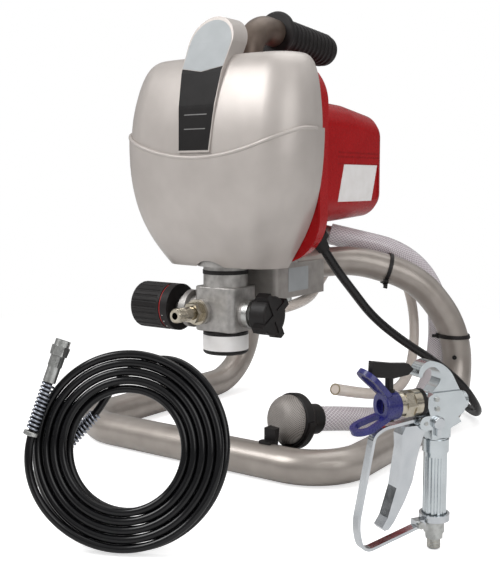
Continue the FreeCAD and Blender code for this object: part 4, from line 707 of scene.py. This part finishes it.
cableTies = {
    # place on the tube (mm), the tie's axis, and the way its head looks
    "tie_head_upper": ((79, 106, 172), (54, 44, -20), (0.1, -0.75, -0.65)),
    "tie_head_lower": ((141, 154, 96), (0, 0, 1), (-0.75, -0.66, 0)),
}
tieHead = {"tubeR": 16.0, "strapLift": 1.6, "sunk": 0.4, "wide": 6.4, "deep": 5.0, "high": 4.6,
           "tail": 5.0, "tailRoot": 1.0, "tailThick": 1.4, "tailWide": 3.6, "bevel": 0.42}


def buildTieHeads():
    # The moulded head of each tie, with the cut end of its strap
    h = tieHead
    for name, (place, axis, look) in cableTies.items():
        along = Vector(axis).normalized()
        out = Vector(look)
        out = (out - along * out.dot(along)).normalized()
        side = along.cross(out)
        at = Vector(place) + out * (h["tubeR"] + h["strapLift"] - h["sunk"])
        work = bmesh.new()
        for low, high, wide, deep in ((0, h["high"], h["wide"], h["deep"]),
                                      (h["high"] - h["tailRoot"], h["high"] + h["tail"], h["tailThick"],
                                       h["tailWide"])):
            made = bmesh.ops.create_cube(work, size=1.0)["verts"]
            for vertex in made:
                x, y, z = vertex.co
                height = low + (z + 0.5) * (high - low)
                vertex.co = at + side * (x * wide) + along * (y * deep) + out * height
        bmesh.ops.bevel(work, geom=work.edges[:], offset=h["bevel"], segments=3, affect="EDGES",
                        clamp_overlap=True)
        bmesh.ops.recalc_face_normals(work, faces=work.faces)
        work.transform(Matrix.Scale(mm, 4))
        mesh = bpy.data.meshes.new(name)
        work.to_mesh(mesh)
        work.free()
        mesh.materials.append(blackNylon)
        piece = bpy.data.objects.new(name, mesh)
        bpy.context.collection.objects.link(piece)
        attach(piece, "sprayer")
    print("cable ties done")


def buildThreads():
    tree = springTree()
    for name, (turns, pitch, radius, wire, at, heading, body, slot) in threadRidges.items():
        values = {"Turns": float(turns), "Height": turns * pitch * mm, "Radius": radius * mm,
                  "Wire": wire * mm, "Finish": nickelBrass}
        ridge = runTree(name, tree, values, alongMatrix(Vector(at) * mm, Vector(heading)), body)
    print("threads cut")


# ---------- finishes for the CAD pieces

cadFinishes = {
    silverLacquer: ["front_cover"],
    tubeLacquer: ["frame_tube"],
    bracketPaint: ["frame_bracket"],
    handleLacquer: ["handle_tube"],
    redAbs: ["rear_housing"],
    dieCast: ["drive_housing", "pump_block", "pressure_control", "suction_pipe"],
    blastedAlloy: ["gun_body", "gun_handle"],
    zincPlate: ["drive_fasteners", "packing_nut", "inlet_seat", "prime_valve", "hose_ferrules",
                "gun_fasteners", "gun_connector", "swivel_nut_near", "swivel_nut_far"],
    nickelBrass: ["outlet_fitting", "nozzle_nut"],
    brightChrome: ["gun_trigger", "trigger_guard", "trigger_lock", "gun_needle", "piston_rod"],
    machinedSteel: ["motor_stator", "motor_rotor", "motor_pinion", "shaft_bearings", "reduction_gear",
                    "crankshaft", "piston_yoke", "inlet_ball", "outlet_ball"],
    blackNylon: ["motor_fan", "carbon_brushes", "inlet_collar", "pressure_knob", "prime_valve_handle",
                 "switch_bezel", "switch_rocker", "strainer_cap", "hose_clips", "spray_tip"],
    softRubber: ["pump_seals", "handle_grip", "cord_gland", "nozzle_ring", "power_plug"],
    whiteFilm: ["collar_band"],
    blueNylon: ["tip_guard"],
}


def finishCadPieces():
    cadFinishes[wireMesh()] = ["strainer_mesh"]
    for material, names in cadFinishes.items():
        for name in names:
            piece = nodes[name]
            if piece.material_slots:
                for slot in piece.material_slots:
                    slot.link = "OBJECT"
                    slot.material = material
            else:
                piece.data.materials.append(material)


# ---------- stage, lights and camera

studio = {
    "cameraAt": (0.542, -0.821, 0.268), "turnDeg": 35.0, "pitchDeg": 6.1, "lens": 59.36, "sensor": 36.0,
    "worldStrength": 0.46, "glossTop": 0.85, "glossLow": 0.1, "glossHeights": (-0.2, 0.7),
    "gapDark": 0.12, "gapScale": 1.7, "gapEdges": (0.1, 0.6),
    # name, place, size, watts
    "lamps": [("keyLamp", (-0.55, -1.15, 1.25), 0.9, 14.0), ("fillLamp", (1.25, -0.7, 0.8), 1.1, 6.0),
              ("topLamp", (0.1, 0.3, 1.5), 1.2, 5.5)],
    "lampAim": (0.03, -0.08, 0.2),
    "floorGlow": 0.62, "fadeFrom": 0.42, "fadeTo": 1.1, "fadeCentre": (0.08, -0.1, 0),
    "floorHalf": 6.0,
}


def buildStage():
    s = studio
    world = bpy.data.worlds.new("studio")
    bpy.context.scene.world = world
    world.use_nodes = True
    tree = world.node_tree
    tree.nodes.clear()
    path = addNode(tree, "ShaderNodeLightPath")
    seen = addNode(tree, "ShaderNodeMath", {"operation": "MAXIMUM"},
                   {0: path.outputs["Is Camera Ray"], 1: path.outputs["Is Transmission Ray"]}).outputs[0]
    # Shiny metal sees a room that is white above and darker low down, as in a light tent
    around = addNode(tree, "ShaderNodeTexCoord").outputs["Generated"]
    height = addNode(tree, "ShaderNodeSeparateXYZ", None, {"Vector": around}).outputs["Z"]
    room = spread(tree, height, s["glossLow"], s["glossTop"], *s["glossHeights"])
    # The dark gaps between the light tent's walls, which chrome needs to look like chrome
    gaps = addNode(tree, "ShaderNodeTexWave",
                   {"bands_direction": "DIAGONAL", "Scale": s["gapScale"], "Distortion": 0.0},
                   {"Vector": around}).outputs["Fac"]
    gaps = spread(tree, gaps, s["gapDark"], 1.0, *s["gapEdges"])
    room = addNode(tree, "ShaderNodeMath", {"operation": "MULTIPLY"}, {0: room, 1: gaps}).outputs[0]
    level = addNode(tree, "ShaderNodeMix", {"A": s["worldStrength"]},
                    {"Factor": path.outputs["Is Glossy Ray"], "B": room}).outputs["Result"]
    strength = addNode(tree, "ShaderNodeMix", {"B": 1.0}, {"Factor": seen, "A": level}).outputs["Result"]
    sky = addNode(tree, "ShaderNodeBackground", {"Color": (1, 1, 1, 1)}, {"Strength": strength})
    addNode(tree, "ShaderNodeOutputWorld", None, {"Surface": sky.outputs["Background"]})

    material = bpy.data.materials.new("white_studio_floor")
    material.use_nodes = True
    tree = material.node_tree
    tree.nodes.clear()
    path = addNode(tree, "ShaderNodeLightPath")
    away = addNode(tree, "ShaderNodeVectorMath", {"operation": "DISTANCE", 1: s["fadeCentre"]},
                   {0: objectPoint(tree)}).outputs["Value"]
    fade = spread(tree, away, 0.0, 1.0, s["fadeFrom"], s["fadeTo"])
    fade = addNode(tree, "ShaderNodeMath", {"operation": "MULTIPLY"},
                   {0: fade, 1: path.outputs["Is Camera Ray"]}).outputs[0]
    matt = addNode(tree, "ShaderNodeBsdfDiffuse", {"Color": (0.8, 0.8, 0.8, 1)})
    lift = addNode(tree, "ShaderNodeMath", {"operation": "MULTIPLY", 1: s["floorGlow"]},
                   {0: path.outputs["Is Camera Ray"]}).outputs[0]
    glow = addNode(tree, "ShaderNodeEmission", None, {"Strength": lift})
    both = addNode(tree, "ShaderNodeAddShader", None, {0: matt.outputs[0], 1: glow.outputs[0]})
    white = addNode(tree, "ShaderNodeEmission", {"Strength": 1.0})
    mixed = addNode(tree, "ShaderNodeMixShader", None, {0: fade, 1: both.outputs[0], 2: white.outputs[0]})
    addNode(tree, "ShaderNodeOutputMaterial", None, {"Surface": mixed.outputs[0]})
    mesh = bpy.data.meshes.new("floor")
    half = s["floorHalf"]
    corners = [(-half, -half, 0), (half, -half, 0), (half, half, 0), (-half, half, 0)]
    mesh.from_pydata(corners, [], [(0, 1, 2, 3)])
    mesh.materials.append(material)
    floor = bpy.data.objects.new("floor", mesh)
    bpy.context.collection.objects.link(floor)

    for name, at, size, watts in s["lamps"]:
        lamp = bpy.data.lights.new(name, "AREA")
        lamp.shape, lamp.size, lamp.energy = "DISK", size, watts
        holder = bpy.data.objects.new(name, lamp)
        holder.location = at
        aim = Vector(s["lampAim"]) - Vector(at)
        holder.rotation_euler = aim.to_track_quat("-Z", "Y").to_euler()
        bpy.context.collection.objects.link(holder)

    camera = bpy.data.cameras.new("camera")
    camera.lens, camera.sensor_width = s["lens"], s["sensor"]
    holder = bpy.data.objects.new("camera", camera)
    holder.location = s["cameraAt"]
    holder.rotation_euler = (math.radians(90 - s["pitchDeg"]), 0, math.radians(s["turnDeg"]))
    bpy.context.collection.objects.link(holder)
    bpy.context.scene.camera = holder
    bpy.context.scene.view_settings.view_transform = "Standard"


buildStage()
print("stage and camera set")
finishCadPieces()
print("CAD pieces finished")
buildPowerCord()
buildPaintHoses()
buildPressureHose()
print("cords and hoses built")
buildFilms()
buildApronLip()
buildFlanges()
buildTubeHoleShade()
buildDial()
buildThreads()
buildTieHeads()
bpy.context.view_layer.update()
